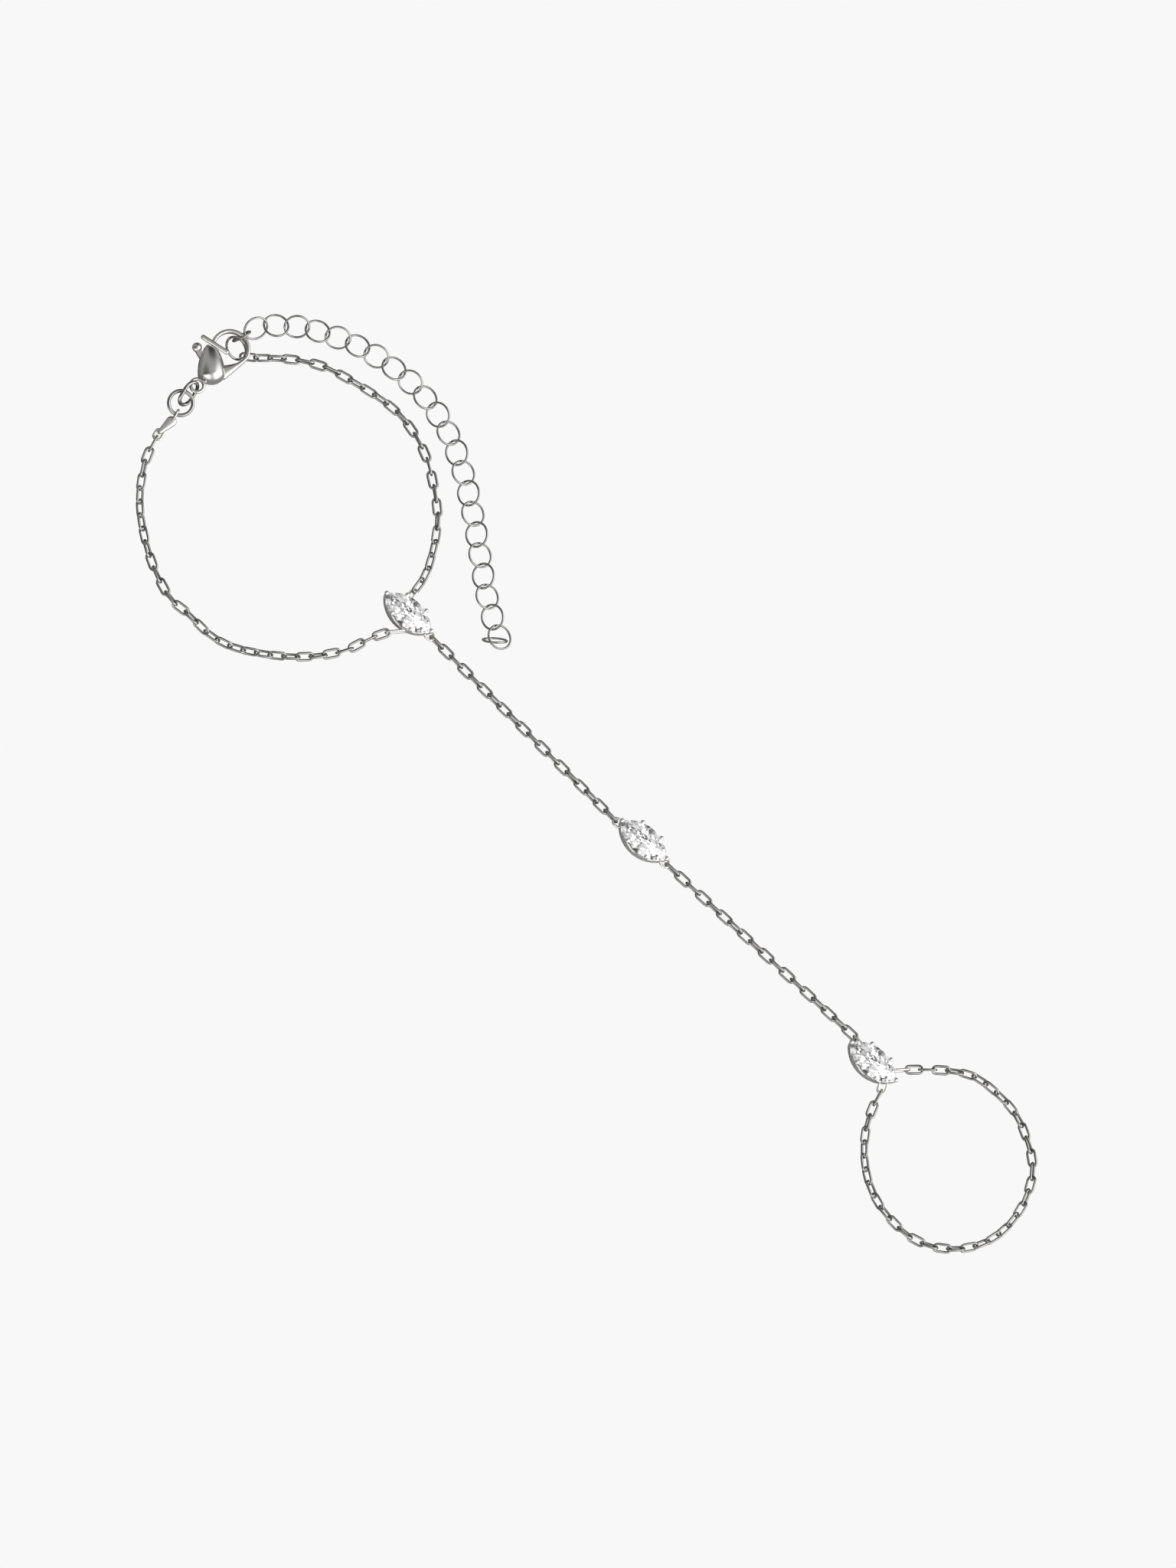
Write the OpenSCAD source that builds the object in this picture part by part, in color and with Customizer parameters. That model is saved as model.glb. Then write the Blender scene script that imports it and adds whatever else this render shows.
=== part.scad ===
// Hand chain bracelet: a wrist chain with a lobster clasp and an extender, a chain over the back
// of the hand and a finger loop, joined at three marquise stones in claw settings. It lies flat.
// Millimetres. +Y runs from the finger to the wrist, +Z is up, and the origin is on the surface
// that it lies on, under the middle stone.

/* [Stones] */
// Length of a stone from tip to tip
stone_l = 7.7; // [7:0.1:8.4]
// Width of a stone
stone_w = 3.9; // [3.6:0.1:4.4]
// Height of the crown above the girdle band
crown_h = 0.62; // [0.5:0.02:0.8]
// Depth of the pavilion below the girdle band
pavilion_h = 1.5; // [1.2:0.05:1.7]
// Height of the girdle band
girdle_h = 0.1; // [0.06:0.02:0.2]
// How far the table's edge lies inside the girdle
table_in = 0.85; // [0.7:0.05:1.1]

/* [Settings] */
// Height of the girdle's middle above the surface
girdle_z = 2.3; // [2.2:0.05:2.8]
// Thickness of a setting's wall
wall_t = 0.34; // [0.26:0.02:0.44]
// Thickness of a setting's floor
floor_t = 0.3; // [0.2:0.05:0.4]
// How far the wall's top edge stands outside the stone
flare_out = 0.12; // [0.06:0.02:0.2]
// How far the wall's foot lies inside the stone's outline
foot_in = 0.12; // [0.08:0.02:0.2]
// How far the wall's top edge lies below the girdle
wall_drop = 0.05; // [0:0.01:0.2]
// How deep the wall dips between the claws
dip_h = 0.55; // [0.3:0.05:0.8]
// Thickness of a claw
claw_d = 0.5; // [0.4:0.02:0.6]
// Diameter of a claw's ball tip
bead_d = 0.62; // [0.5:0.02:0.7]
// Height of a ball tip's centre above the girdle
bead_up = 0.38; // [0.3:0.02:0.5]
// How far a ball tip's centre lies inside the stone's outline
bead_in = 0.03; // [0:0.01:0.1]
// Distance of the side claws from the stone's middle, along the stone
claw_y = 1.6; // [1.3:0.1:2]
// Play between a stone and its seat
seat_gap = 0.05; // [0.03:0.01:0.08]
// Turn of the stones against the hand chain, in degrees
stone_turn = 3.7; // [0:0.1:6]

/* [Places] */
// Distance from the middle stone to the wrist stone
wrist_y = 42.7; // [38:0.1:48]
// Distance from the middle stone to the finger stone
finger_y = 41.6; // [37:0.1:47]

/* [Cable chain] */
// Outer length of a cable link
link_l = 2.65; // [2.4:0.05:3]
// Outer width of a cable link
link_w = 1.36; // [1.24:0.02:1.5]
// Thickness of the link wire
link_d = 0.34; // [0.28:0.02:0.36]
// Play between two linked wires
play = 0.15; // [0.12:0.01:0.18]
// Height of the chain's lowest point above the surface
lift = 0.02; // [0:0.01:0.1]

/* [Extender] */
// Outer diameter of an extender ring
ring_od = 3.46; // [3:0.02:3.8]
// Thickness of the extender's wire
ring_d = 0.29; // [0.24:0.01:0.32]
// Lean of each ring to one side or the other of the extender's own lean, in degrees
ring_lean = 30; // [26:1:34]

/* [Clasp] */
// Half width of the lobe at its widest
lobe_r = 1.8; // [1.7:0.05:1.85]
// Half height of the lobe at its thickest
lobe_h = 1.7; // [1.6:0.05:1.75]
// Half width of the lobe at its top
lobe_top_r = 0.65; // [0.6:0.05:0.75]
// Length of the lobe
lobe_l = 5.1; // [5:0.05:5.15]
// Radius of the hook's centre line
hook_r = 2.38; // [2.3:0.02:2.46]
// Width of the hook's bar, seen from above
hook_t = 0.56; // [0.4:0.02:0.6]
// Height of the hook's bar
hook_h = 0.9; // [0.7:0.05:1]
// Thickness of the beak's rod
beak_d = 0.64; // [0.5:0.02:0.66]
// Outer diameter of the clasp's eye
eye_od = 2.2; // [2:0.05:2.3]
// Thickness of the eye's wire
eye_d = 0.45; // [0.35:0.05:0.5]
// Thickness of the lever's plate
lever_t = 0.56; // [0.4:0.02:0.6]
// Diameter of the lever's thumb knob
knob_d = 1.3; // [1.1:0.05:1.35]
// Height of the thumb knob
knob_h = 1.1; // [0.8:0.1:1.3]
// Diameter of the pivot pin
pin_d = 0.6; // [0.4:0.05:0.7]
// Play of the lever's bore round the pin, on the radius
pin_play = 0.03; // [0.02:0.01:0.06]
// Play of the lever in its slot, on each side
slot_play = 0.1; // [0.06:0.02:0.15]

/* [Rings at the clasp] */
// Outer diameter of the end ring
end_ring_od = 3.7; // [3.5:0.05:3.9]
// Thickness of the end ring and of the eye link
end_ring_d = 0.5; // [0.4:0.02:0.54]
// Length of the end cap's leaf
cap_l = 3.1; // [2.6:0.1:3.3]
// Width of the end cap's leaf at the ring's end
cap_w = 1.4; // [1.2:0.05:1.5]
// Width of the end cap's leaf at the chain's end
cap_tip_w = 0.6; // [0.5:0.05:0.7]
// Thickness of the end cap
cap_t = 0.9; // [0.7:0.05:1.1]
// Outer diameter of the connector ring
con_od = 3.5; // [3.44:0.02:3.56]
// Thickness of the connector ring
con_d = 0.34; // [0.3:0.01:0.36]
// Length of the link on the clasp's hook
hook_link_l = 2.95; // [2.9:0.01:3]
// Width of the link on the clasp's hook
hook_link_w = 2.3; // [2.24:0.02:2.36]
// Thickness of the link on the clasp's hook
hook_link_d = 0.3; // [0.26:0.01:0.32]
// Length of the link at the clasp's eye
eye_link_l = 3.9; // [3.84:0.02:3.96]
// Width of the link at the clasp's eye
eye_link_w = 2.8; // [2.74:0.02:2.86]

/* [Hidden] */

// Routes of the chains, seen from above, chosen by hand. The wrist's are measured from the wrist
// stone and the finger's from the finger stone; their ends come from the pieces that they join.
ROUTE_LEFT = [[-9.1, 38.6], [-12.1, 36.8], [-14.7, 34.6], [-17.2, 31.4], [-19.2, 27.9],
    [-20.7, 23.6], [-20.5, 20.3], [-20.6, 17.2], [-19.9, 14], [-18.2, 11], [-15.4, 7.4],
    [-12.3, 4.5], [-8.9, 2.3], [-5.8, 1.3]];
ROUTE_RIGHT = [[11.2, 37.5], [12.7, 36], [14.9, 33.5], [16.8, 30.4], [17.9, 27], [18.9, 22.8],
    [19.3, 19.5], [18.9, 16.2], [17.7, 12.7], [15.6, 9.4], [13, 6.2], [10.4, 4.2], [7.6, 2.6], [5.4, 1.7]];
ROUTE_FINGER = [[4.3, -5.3], [6.8, -8], [8.7, -11], [9.2, -14.8], [8.9, -18.4], [7.4, -21.8],
    [5.3, -24.7], [2.1, -26.6], [-1.5, -27.5], [-5.3, -27.3], [-8.7, -25.8], [-11.5, -23.1],
    [-13.1, -19.9], [-13.4, -16.2], [-12.7, -12.4], [-10.9, -9.1], [-8.1, -6.3], [-4.8, -4.4]];
ROUTE_EXTENDER = [[15.1, 39.5], [17.2, 37.7], [19.7, 34], [22, 29], [23.2, 23.5], [23.3, 18],
    [22.1, 13], [19.9, 8.4], [17, 4], [14, 0], [10.9, -3.9], [8.5, -7.2], [7.2, -9.5], [6, -12]];

// The stone's outline is a leaf of two arcs: their radius and how far their centres stand off
leaf_r = (stone_l * stone_l + stone_w * stone_w) / (4 * stone_w);
leaf_c = leaf_r - stone_w / 2;
// Number of points round a stone's girdle
GIRDLE_N = 16;
// Heights of the girdle band's edges, the table and the culet
girdle_lo = girdle_z - girdle_h / 2;
girdle_hi = girdle_z + girdle_h / 2;
table_z = girdle_hi + crown_h;
culet_z = girdle_lo - pavilion_h;
// Height of the wall's top edge
wall_h = girdle_z - wall_drop;
// Distance between the joints of a cable link, and of an extender ring
link_pitch = link_l - 2 * link_d - play;
ring_pitch = ring_od - 2 * ring_d - play;
// Lean that all rings of the extender share, in degrees
EXTENDER_LEAN = 14;
// Height of the chains' centre line and of the extender's
chain_z = link_w / 2 + lift;
ring_z = (ring_od - ring_d) / 2 * sin(EXTENDER_LEAN + ring_lean) + ring_d / 2 + lift;
// Middle plane of the clasp
clasp_z = lobe_h + lift;
WRIST = [0, wrist_y];
FINGER = [0, -finger_y];
// Centre and turn of the extender's last ring, which stands on edge
LAST_RING_AT = [5.7, -10.6, 1.7];
LAST_RING_TURN = [-46, 0, 114];

// Half width of the wall's outer outline at the height z, as an offset from the stone's outline
function wall_offset(z) = -foot_in + (foot_in + flare_out) * z / wall_h;
// Distance from the stone's middle to the tip of the outline at an offset
function leaf_tip(o) = sqrt(pow(leaf_r + o, 2) - leaf_c * leaf_c);
// Half width of the outline at an offset, at the distance y along the stone
function leaf_x(o, y) = sqrt(pow(leaf_r + o, 2) - y * y) - leaf_c;
// Point of the outline at an offset; t runs clockwise from 0 at the +Y tip to 1
function leaf_point(o, t, z) = let (r = leaf_r + o, m = acos(leaf_c / r),
    a = m * (1 - 4 * (t % 0.5)), s = t < 0.5 ? 1 : -1)
    [s * (r * cos(a) - leaf_c), s * r * sin(a), z];
function turned(p, a) = [p[0] * cos(a) - p[1] * sin(a), p[0] * sin(a) + p[1] * cos(a)];
function at_height(p, z) = [p[0], p[1], z];
function from_wrist(p) = [p[0], wrist_y + p[1], p[2]];

// Route functions: a smooth curve through chosen points, cut into joints at even distances. odd
// is 1 for an odd number of links and 0 for an even one, so that the end link always stands right
CURVE_STEPS = 10;
function curve_point(a, b, c, d, t) = 0.5 * (2 * b + (c - a) * t
    + (2 * a - 5 * b + 4 * c - d) * t * t + (3 * b - a - 3 * c + d) * t * t * t);
function curve(p) = let (n = len(p)) [
    for (i = [0:n - 2]) for (k = [0:CURVE_STEPS - 1])
        curve_point(p[max(i - 1, 0)], p[i], p[i + 1], p[min(i + 2, n - 1)], k / CURVE_STEPS),
    p[n - 1]];
function lengths(c) = [for (i = 0, s = 0; i < len(c);
    s = s + (i < len(c) - 1 ? norm(c[i + 1] - c[i]) : 0), i = i + 1) s];
function joints(p, pitch, odd) = let (c = curve(p), s = lengths(c), total = s[len(s) - 1],
    n = 2 * round((total / pitch - odd) / 2) + odd,
    tx = [for (i = [0:len(c) - 1]) [s[i], c[i][0]]],
    ty = [for (i = [0:len(c) - 1]) [s[i], c[i][1]]],
    tz = [for (i = [0:len(c) - 1]) [s[i], c[i][2]]])
    [for (k = [0:n]) let (at = total * k / n) [lookup(at, tx), lookup(at, ty), lookup(at, tz)]];

// Soldered loops of the settings: the joint that holds the chain, and the foot in the wall, both
// measured from the stone's middle before its turn
tip_foot = leaf_tip(wall_offset(chain_z)) - wall_t / 2;
tip_joint = leaf_tip(wall_offset(link_w)) + 0.55;
LOOP_TIP = [[0, tip_foot], [0, tip_joint]];
LOOP_LEFT = [[-leaf_x(wall_offset(chain_z) - wall_t / 2, 1.4), -1.4], [-3.4, 0.4]];
LOOP_RIGHT = [[leaf_x(wall_offset(chain_z) - wall_t / 2, 1.1), 1.1], [3.3, 1.2]];
LOOP_HAND = [[leaf_x(wall_offset(chain_z) - wall_t / 2, 2.2), 2.2], [1.4, 3.75]];
LOOP_FINGER_RIGHT = [[leaf_x(wall_offset(chain_z) - wall_t / 2, 2.5), -2.5], [2.7, -4.2]];
LOOP_FINGER_LEFT = [[-leaf_x(wall_offset(chain_z) - wall_t / 2, 2.9), -2.9], [-1.95, -3.35]];
// Roll of the right wrist chain's first link, which sets that of its loop too
RIGHT_ROLL = 46;
function loop_joint(place, loop) = at_height(place + turned(loop[1], stone_turn), chain_z);

// Clasp points in its own plane: x to the hook's side, y from the eye end to the hook's top
CLASP_AT = [4.1, 39.3];
CLASP_TURN = -47.4;
HOOK_AT = [2.45, 4.75];
HOOK_END = 167;
HOOK_START = -30;
EYE_AT = [-1.95, -0.42];
PIVOT_AT = [-0.31, 3.27];
GATE_TIP = [0, 4.62];
KNOB_AT = [-2, 4.73];
STEM_AT = [-1.5, 3.5];
BEAK_FROM = [-1.32, 5.95];
BEAK_TO = [1.8, 4.1];
BEAK_GAP = 0.1;
CREASE_AT = [1.3, 2.43];
WEB_INNER = [3.28, 2.83];
WEB_FOOT = [1.33, 0.22];
LOBE_WIDE_Y = 1.2;
LOBE_FOOT_R = 2;
LOBE_LEAN = 3;
// Where the two chains start at the clasp, with their heights above the surface
CABLE_START = [4.22, 4.19, 0.54];
EXTENDER_START = [4.54, 7.42, 1.59];
function clasp_point(p, z) = at_height(WRIST + CLASP_AT + turned(p, CLASP_TURN), z);
function hook_point(r, a) = HOOK_AT + r * [cos(a), sin(a)];

// Joints at the clasp's eye end, from the end ring's centre outwards
END_RING_AT = [-0.69, 40.37, 1.34];
END_RING_LEAN = -10;
// Where the ring holds the cap, seen from the ring's centre, how the cap lies and how its other
// loop points to the chain
CAP_GRIP = [-1, -0.44];
CAP_DIRECTION = [-1, 0.05];
CAP_TAIL = [-1, -0.35];
cap_grip = CAP_GRIP / norm(CAP_GRIP);
cap_dir = CAP_DIRECTION / norm(CAP_DIRECTION);
cap_tail = CAP_TAIL / norm(CAP_TAIL);
reach = end_ring_od / 2 - end_ring_d - play;
cap_joint = turned(from_wrist(END_RING_AT), 0) + reach * cap_grip;
cap_joint_z = END_RING_AT[2] + reach * sin(END_RING_LEAN);
cap_start = cap_joint + (end_ring_d + play) * 1.25 * cap_grip;
cap_end = cap_start + cap_l * cap_dir;
cap_chain_joint = cap_end + (link_d + 2 * play) * cap_tail;

module along(a, b) {
    d = b - a;
    translate((a + b) / 2)
        rotate([0, -asin(d[2] / norm(d)), atan2(d[1], d[0])])
            children();
}

// A round bar between two points
module rod(a, b, thick) {
    along(a, b)
        rotate([0, 90, 0]) cylinder(d = thick, h = norm(b - a), center = true, $fn = 24);
}

// An oval ring of round wire, its long axis along X
module oval(long, wide, wire) {
    r = (wide - wire) / 2;
    straight = max(round(1000 * (long - wide)) / 1000, 0);
    for (side = [-1, 1]) {
        translate([side * straight / 2, 0, 0])
            rotate([0, 0, -90 * side])
                rotate_extrude(angle = 180, $fn = 40)
                    translate([r, 0]) circle(d = wire, $fn = 16);
        if (straight > 0)
            translate([0, side * r, 0])
                rotate([0, 90, 0]) cylinder(d = wire, h = straight, center = true, $fn = 16);
    }
}

// A link between two joints: its bars pass each joint by half the play
module link(a, b, wide, wire, roll) {
    along(a, b) rotate([roll, 0, 0]) oval(norm(b - a) + 2 * wire + play, wide, wire);
}

// A chain of links whose planes cross; roll is the first link's, and sway is how far the links
// wander from the crossing, in two waves that leave both ends as they are. Between its ends the
// chain turns by upright on top of that, over UPRIGHT_LINKS links at either end
UPRIGHT_LINKS = 5;
module cable(points, roll, sway, upright = 0) {
    last = len(points) - 2;
    for (i = [0:last])
        link(points[i], points[i + 1], link_w, link_d, roll + 90 * i
            + sway * sin(720 * i / last) + upright * min(1, i / UPRIGHT_LINKS,
            (last - i) / UPRIGHT_LINKS));
}

// The solid between two outlines of the leaf, at offsets from the stone's outline
module leaf(o1, o2, z1, z2) {
    intersection_for (side = [-1, 1])
        translate([side * leaf_c, 0, z1])
            cylinder(r1 = leaf_r + o1, r2 = leaf_r + o2, h = z2 - z1, $fn = 120);
}

// Brilliant-cut marquise: table, crown, girdle band and pavilion, from rings of points
module stone() {
    n = GIRDLE_N;
    h = n / 2;
    p = [for (j = [0:n - 1]) leaf_point(0, j / n, girdle_lo),
        for (j = [0:n - 1]) leaf_point(0, j / n, girdle_hi),
        for (k = [0:h - 1]) leaf_point(-table_in / 2, (2 * k + 1) / n, girdle_hi + crown_h / 2),
        for (k = [0:h - 1]) leaf_point(-table_in, 2 * k / n, table_z),
        for (k = [0:h - 1]) leaf_point(-stone_w / 4, (2 * k + 1) / n, girdle_lo - pavilion_h / 2),
        [0, 0, culet_z]];
    up = n;
    mid = 2 * n;
    top = mid + h;
    low = top + h;
    culet = low + h;
    f = [[for (k = [0:h - 1]) top + k],
        for (k = [0:h - 1]) let (g = 2 * k, g2 = (2 * k + 2) % n, next = (k + 1) % h,
            last = (k + h - 1) % h)
            each [[top + k, mid + k, top + next],
                [top + k, up + g, mid + k],
                [top + k, mid + last, up + g],
                [mid + k, up + g, up + g + 1],
                [mid + k, up + g + 1, up + g2],
                [low + k, g + 1, g],
                [low + k, g2, g + 1],
                [culet, low + k, g],
                [culet, g, low + last]],
        for (j = [0:n - 1]) let (j2 = (j + 1) % n)
            each [[up + j, j, j2], [up + j, j2, up + j2]]];
    polyhedron(points = p, faces = f);
}

// Round dip in the wall's top edge, cut across the setting
module dip(y, half) {
    r = (half * half + dip_h * dip_h) / (2 * dip_h);
    translate([0, y, wall_h - dip_h + r])
        rotate([0, 90, 0]) cylinder(r = r, h = 2 * stone_w, center = true, $fn = 64);
}

module claw(x, y, foot) {
    z = 0.3;
    rod([foot[0], foot[1], z], [x, y, girdle_z + bead_up], claw_d);
    translate([x, y, girdle_z + bead_up]) sphere(d = bead_d, $fn = 32);
}

// Claw setting: a leaf-shaped cup with a floor, six claws and the loops soldered to its wall.
// loops holds [foot, joint, roll] of each
module setting(loops) {
    foot = wall_offset(0.3) - claw_d / 2;
    tip = leaf_tip(-bead_in);
    side = leaf_x(-bead_in, claw_y);
    side_dip = (tip - claw_y) / 2;
    difference() {
        union() {
            difference() {
                leaf(-foot_in, flare_out, 0, wall_h);
                dip(0, claw_y - claw_d / 2);
                for (s = [-1, 1]) dip(s * (claw_y + side_dip), side_dip - claw_d / 2);
            }
            for (s = [-1, 1]) {
                claw(0, s * tip, [0, s * leaf_tip(foot)]);
                for (t = [-1, 1])
                    claw(t * side, s * claw_y, [t * leaf_x(foot, claw_y), s * claw_y]);
            }
            for (l = loops)
                link(at_height(l[0], chain_z), at_height(l[1], chain_z), link_w, link_d, l[2]);
        }
        leaf(-foot_in - wall_t + (foot_in + flare_out) * floor_t / wall_h,
            flare_out - wall_t, floor_t, wall_h + 0.01);
        leaf(seat_gap, seat_gap - table_in, girdle_hi, table_z);
        leaf(seat_gap, seat_gap, girdle_lo - 0.01, girdle_hi + 0.01);
        leaf(seat_gap - stone_w / 2 + 0.1, seat_gap, culet_z + 0.1, girdle_lo);
    }
}

module placed(place) {
    translate(at_height(place, 0)) rotate([0, 0, stone_turn]) children();
}

module setting_wrist() {
    color("gainsboro") placed(WRIST)
        setting([concat(-LOOP_TIP, 0), concat(LOOP_LEFT, 90), concat(LOOP_RIGHT, -RIGHT_ROLL)]);
}

module setting_middle() {
    color("gainsboro") placed([0, 0]) setting([concat(LOOP_TIP, 0), concat(-LOOP_TIP, 0)]);
}

module setting_finger() {
    color("gainsboro") placed(FINGER)
        setting([concat(LOOP_HAND, 90), concat(LOOP_FINGER_RIGHT, 90), concat(LOOP_FINGER_LEFT, 0)]);
}

module stone_wrist() { color("aliceblue") placed(WRIST) stone(); }
module stone_middle() { color("aliceblue") placed([0, 0]) stone(); }
module stone_finger() { color("aliceblue") placed(FINGER) stone(); }

module wrist_chain_left() {
    route = [at_height(cap_chain_joint, chain_z),
        for (p = ROUTE_LEFT) at_height(WRIST + p, chain_z),
        loop_joint(WRIST, LOOP_LEFT)];
    color("silver") cable(joints(route, link_pitch, 0), 90, 14, 45);
}

module wrist_chain_right() {
    route = [clasp_point(CABLE_START, CABLE_START[2]),
        for (p = ROUTE_RIGHT) at_height(WRIST + p, chain_z),
        loop_joint(WRIST, LOOP_RIGHT)];
    color("silver") cable(joints(route, link_pitch, 0), RIGHT_ROLL, 12, 44);
}

module hand_chain_upper() {
    route = [loop_joint(WRIST, -LOOP_TIP), loop_joint([0, 0], LOOP_TIP)];
    color("silver") cable(joints(route, link_pitch, 1), 90, 8);
}

module hand_chain_lower() {
    route = [loop_joint([0, 0], -LOOP_TIP), loop_joint(FINGER, LOOP_HAND)];
    color("silver") cable(joints(route, link_pitch, 0), 90, 8);
}

module finger_chain() {
    route = [loop_joint(FINGER, LOOP_FINGER_RIGHT),
        for (p = ROUTE_FINGER) at_height(FINGER + p, chain_z),
        loop_joint(FINGER, LOOP_FINGER_LEFT)];
    color("silver") cable(joints(route, link_pitch, 0), 0, 14, 45);
}

module extender_chain() {
    route = [clasp_point(EXTENDER_START, EXTENDER_START[2]),
        for (p = ROUTE_EXTENDER) at_height(WRIST + p, ring_z)];
    points = joints(route, ring_pitch, 0);
    color("silver") {
        for (i = [0:len(points) - 2])
            link(points[i], points[i + 1], ring_od, ring_d,
                EXTENDER_LEAN + ring_lean * (i % 2 == 0 ? 1 : -1));
        posed(from_wrist(LAST_RING_AT), LAST_RING_TURN) oval(ring_od, ring_od, ring_d);
    }
}

// Places a ring or link by its centre, heading, pitch and roll
module posed(at, turn) {
    translate(at) rotate([turn[2], turn[1], turn[0]]) children();
}

module hook_link() {
    color("silver") clasp_side() posed([3.99, 6.64, 1.39], [15, -51, 117])
        oval(hook_link_l, hook_link_w, hook_link_d);
}

module connector_ring() {
    color("silver") clasp_side() posed([3.37, 5.09, 0.97], [0, 26, -8])
        oval(con_od, con_od, con_d);
}

// Flat bar with round ends, seen from above
module bar(a, b, wide) {
    d = b - a;
    translate(a) circle(d = wide, $fn = 32);
    translate(b) circle(d = wide, $fn = 32);
    translate((a + b) / 2) rotate(atan2(d[1], d[0])) square([norm(d), wide], center = true);
}

// The lobe's outline: a barrel side, a flat top and a round foot
module lobe_profile() {
    rise = lobe_l - LOBE_WIDE_Y;
    slim = lobe_r - lobe_top_r;
    side_r = (rise * rise + slim * slim) / (2 * slim);
    intersection() {
        translate([lobe_r - side_r, LOBE_WIDE_Y]) circle(r = side_r, $fn = 180);
        translate([0, LOBE_FOOT_R - 0.2]) union() {
            circle(r = LOBE_FOOT_R, $fn = 90);
            square([LOBE_FOOT_R, lobe_l]);
        }
        translate([0, -1]) square([2 * lobe_r, lobe_l + 1]);
    }
}

// The lobe, slightly flattened, leaning, and cut off along the beak's rod
module lobe() {
    beak = BEAK_TO - BEAK_FROM;
    intersection() {
        rotate([0, 0, LOBE_LEAN]) scale([1, 1, lobe_h / lobe_r])
            rotate([-90, 0, 0]) rotate([0, 0, 90]) rotate_extrude($fn = 72) lobe_profile();
        translate(at_height(BEAK_FROM, 0)) rotate([0, 0, atan2(beak[1], beak[0])])
            translate([-lobe_l, -3 * lobe_l - beak_d / 2 - BEAK_GAP, -2 * lobe_l])
                cube([4 * lobe_l, 3 * lobe_l, 4 * lobe_l]);
    }
}

// The clasp's own directions, at the surface and at its middle plane
module clasp_side() {
    translate(clasp_point([0, 0], 0)) rotate([0, 0, CLASP_TURN]) children();
}

module clasp_frame() {
    clasp_side() translate([0, 0, clasp_z]) children();
}

// The hook's bar, a flattened round section carried round an arc
module hook() {
    straight = hook_h - hook_t;
    translate(at_height(HOOK_AT, 0)) rotate([0, 0, HOOK_START])
        rotate_extrude(angle = HOOK_END - HOOK_START, $fn = 120)
            translate([hook_r, 0]) hull()
                for (s = [-1, 1]) translate([0, s * straight / 2]) circle(d = hook_t, $fn = 24);
}

module clasp_body() {
    beak_z = hook_h / 2 + beak_d / 2 - 0.02;
    slot = lever_t + 2 * slot_play;
    tip = hook_point(hook_r, HOOK_END);
    color("gainsboro") clasp_frame() {
        difference() {
            lobe();
            translate([-2 * lobe_r, PIVOT_AT[1] - 1, -slot / 2])
                cube([2 * lobe_r + 0.75, lobe_l, slot]);
        }
        translate(at_height(PIVOT_AT, 0)) cylinder(d = pin_d, h = 2.3, center = true, $fn = 32);
        hook();
        translate(at_height(tip, 0)) cylinder(d = hook_t, h = beak_z, $fn = 24);
        rod(at_height(BEAK_FROM, beak_z), at_height(BEAK_TO, beak_z), beak_d);
        for (p = [BEAK_FROM, BEAK_TO])
            translate(at_height(p, beak_z)) sphere(d = 1.08 * beak_d, $fn = 24);
        linear_extrude(height = 1, center = true)
            polygon([CREASE_AT, WEB_INNER, hook_point(hook_r - 0.46 * hook_t, HOOK_START + 2),
                hook_point(hook_r + 0.46 * hook_t, HOOK_START + 2), WEB_FOOT, [0.4, 1]]);
        translate(at_height(EYE_AT, 0)) oval(eye_od, eye_od, eye_d);
    }
}

module clasp_lever() {
    color("gainsboro") clasp_frame() {
        difference() {
            linear_extrude(height = lever_t, center = true) {
                translate(PIVOT_AT) circle(d = pin_d + 0.8, $fn = 48);
                bar(PIVOT_AT, GATE_TIP, 0.5);
                bar(PIVOT_AT, STEM_AT, 0.5);
                hull() {
                    translate(STEM_AT) circle(d = 0.5, $fn = 32);
                    translate(KNOB_AT) circle(d = 0.7 * knob_d, $fn = 32);
                }
            }
            translate(at_height(PIVOT_AT, 0))
                cylinder(d = pin_d + 2 * pin_play, h = 2 * lever_t, center = true, $fn = 48);
        }
        translate(at_height(KNOB_AT, 0))
            scale([1, 1, knob_h / knob_d]) sphere(d = knob_d, $fn = 48);
    }
}

module eye_link() {
    color("silver") posed(from_wrist([0.9, 40.52, 1.62]), [14, -28, 51])
        oval(eye_link_l, eye_link_w, end_ring_d);
}

module end_ring() {
    color("silver") posed(from_wrist(END_RING_AT), [0, END_RING_LEAN, 9])
        oval(end_ring_od, end_ring_od, end_ring_d);
}

module end_cap() {
    a = at_height(cap_start, chain_z);
    b = at_height(cap_end, chain_z);
    color("silver") {
        along(a, b) linear_extrude(height = cap_t, center = true) hull() {
            translate([(cap_w - cap_l) / 2, 0]) circle(d = cap_w, $fn = 72);
            translate([(cap_l - cap_tip_w) / 2, 0]) circle(d = cap_tip_w, $fn = 48);
        }
        link(at_height(cap_joint, cap_joint_z), at_height(cap_start + 0.4 * cap_dir, chain_z),
            end_ring_d + 2 * link_d + 2 * play, link_d, 90);
        link(at_height(cap_end - 0.4 * cap_dir, chain_z), at_height(cap_chain_joint, chain_z),
            link_w, link_d, 0);
    }
}

setting_wrist();
setting_middle();
setting_finger();
stone_wrist();
stone_middle();
stone_finger();
wrist_chain_left();
wrist_chain_right();
hand_chain_upper();
hand_chain_lower();
finger_chain();
extender_chain();
hook_link();
connector_ring();
clasp_body();
clasp_lever();
eye_link();
end_ring();
end_cap();
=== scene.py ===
# Hand chain bracelet in rhodium-plated silver with three marquise stones: the looks round the
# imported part, laid out as an add-on. Tables are in millimetres, in the part's own frame.
import math
from types import SimpleNamespace

import bpy
import numpy as np
from mathutils import Matrix, Vector


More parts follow.
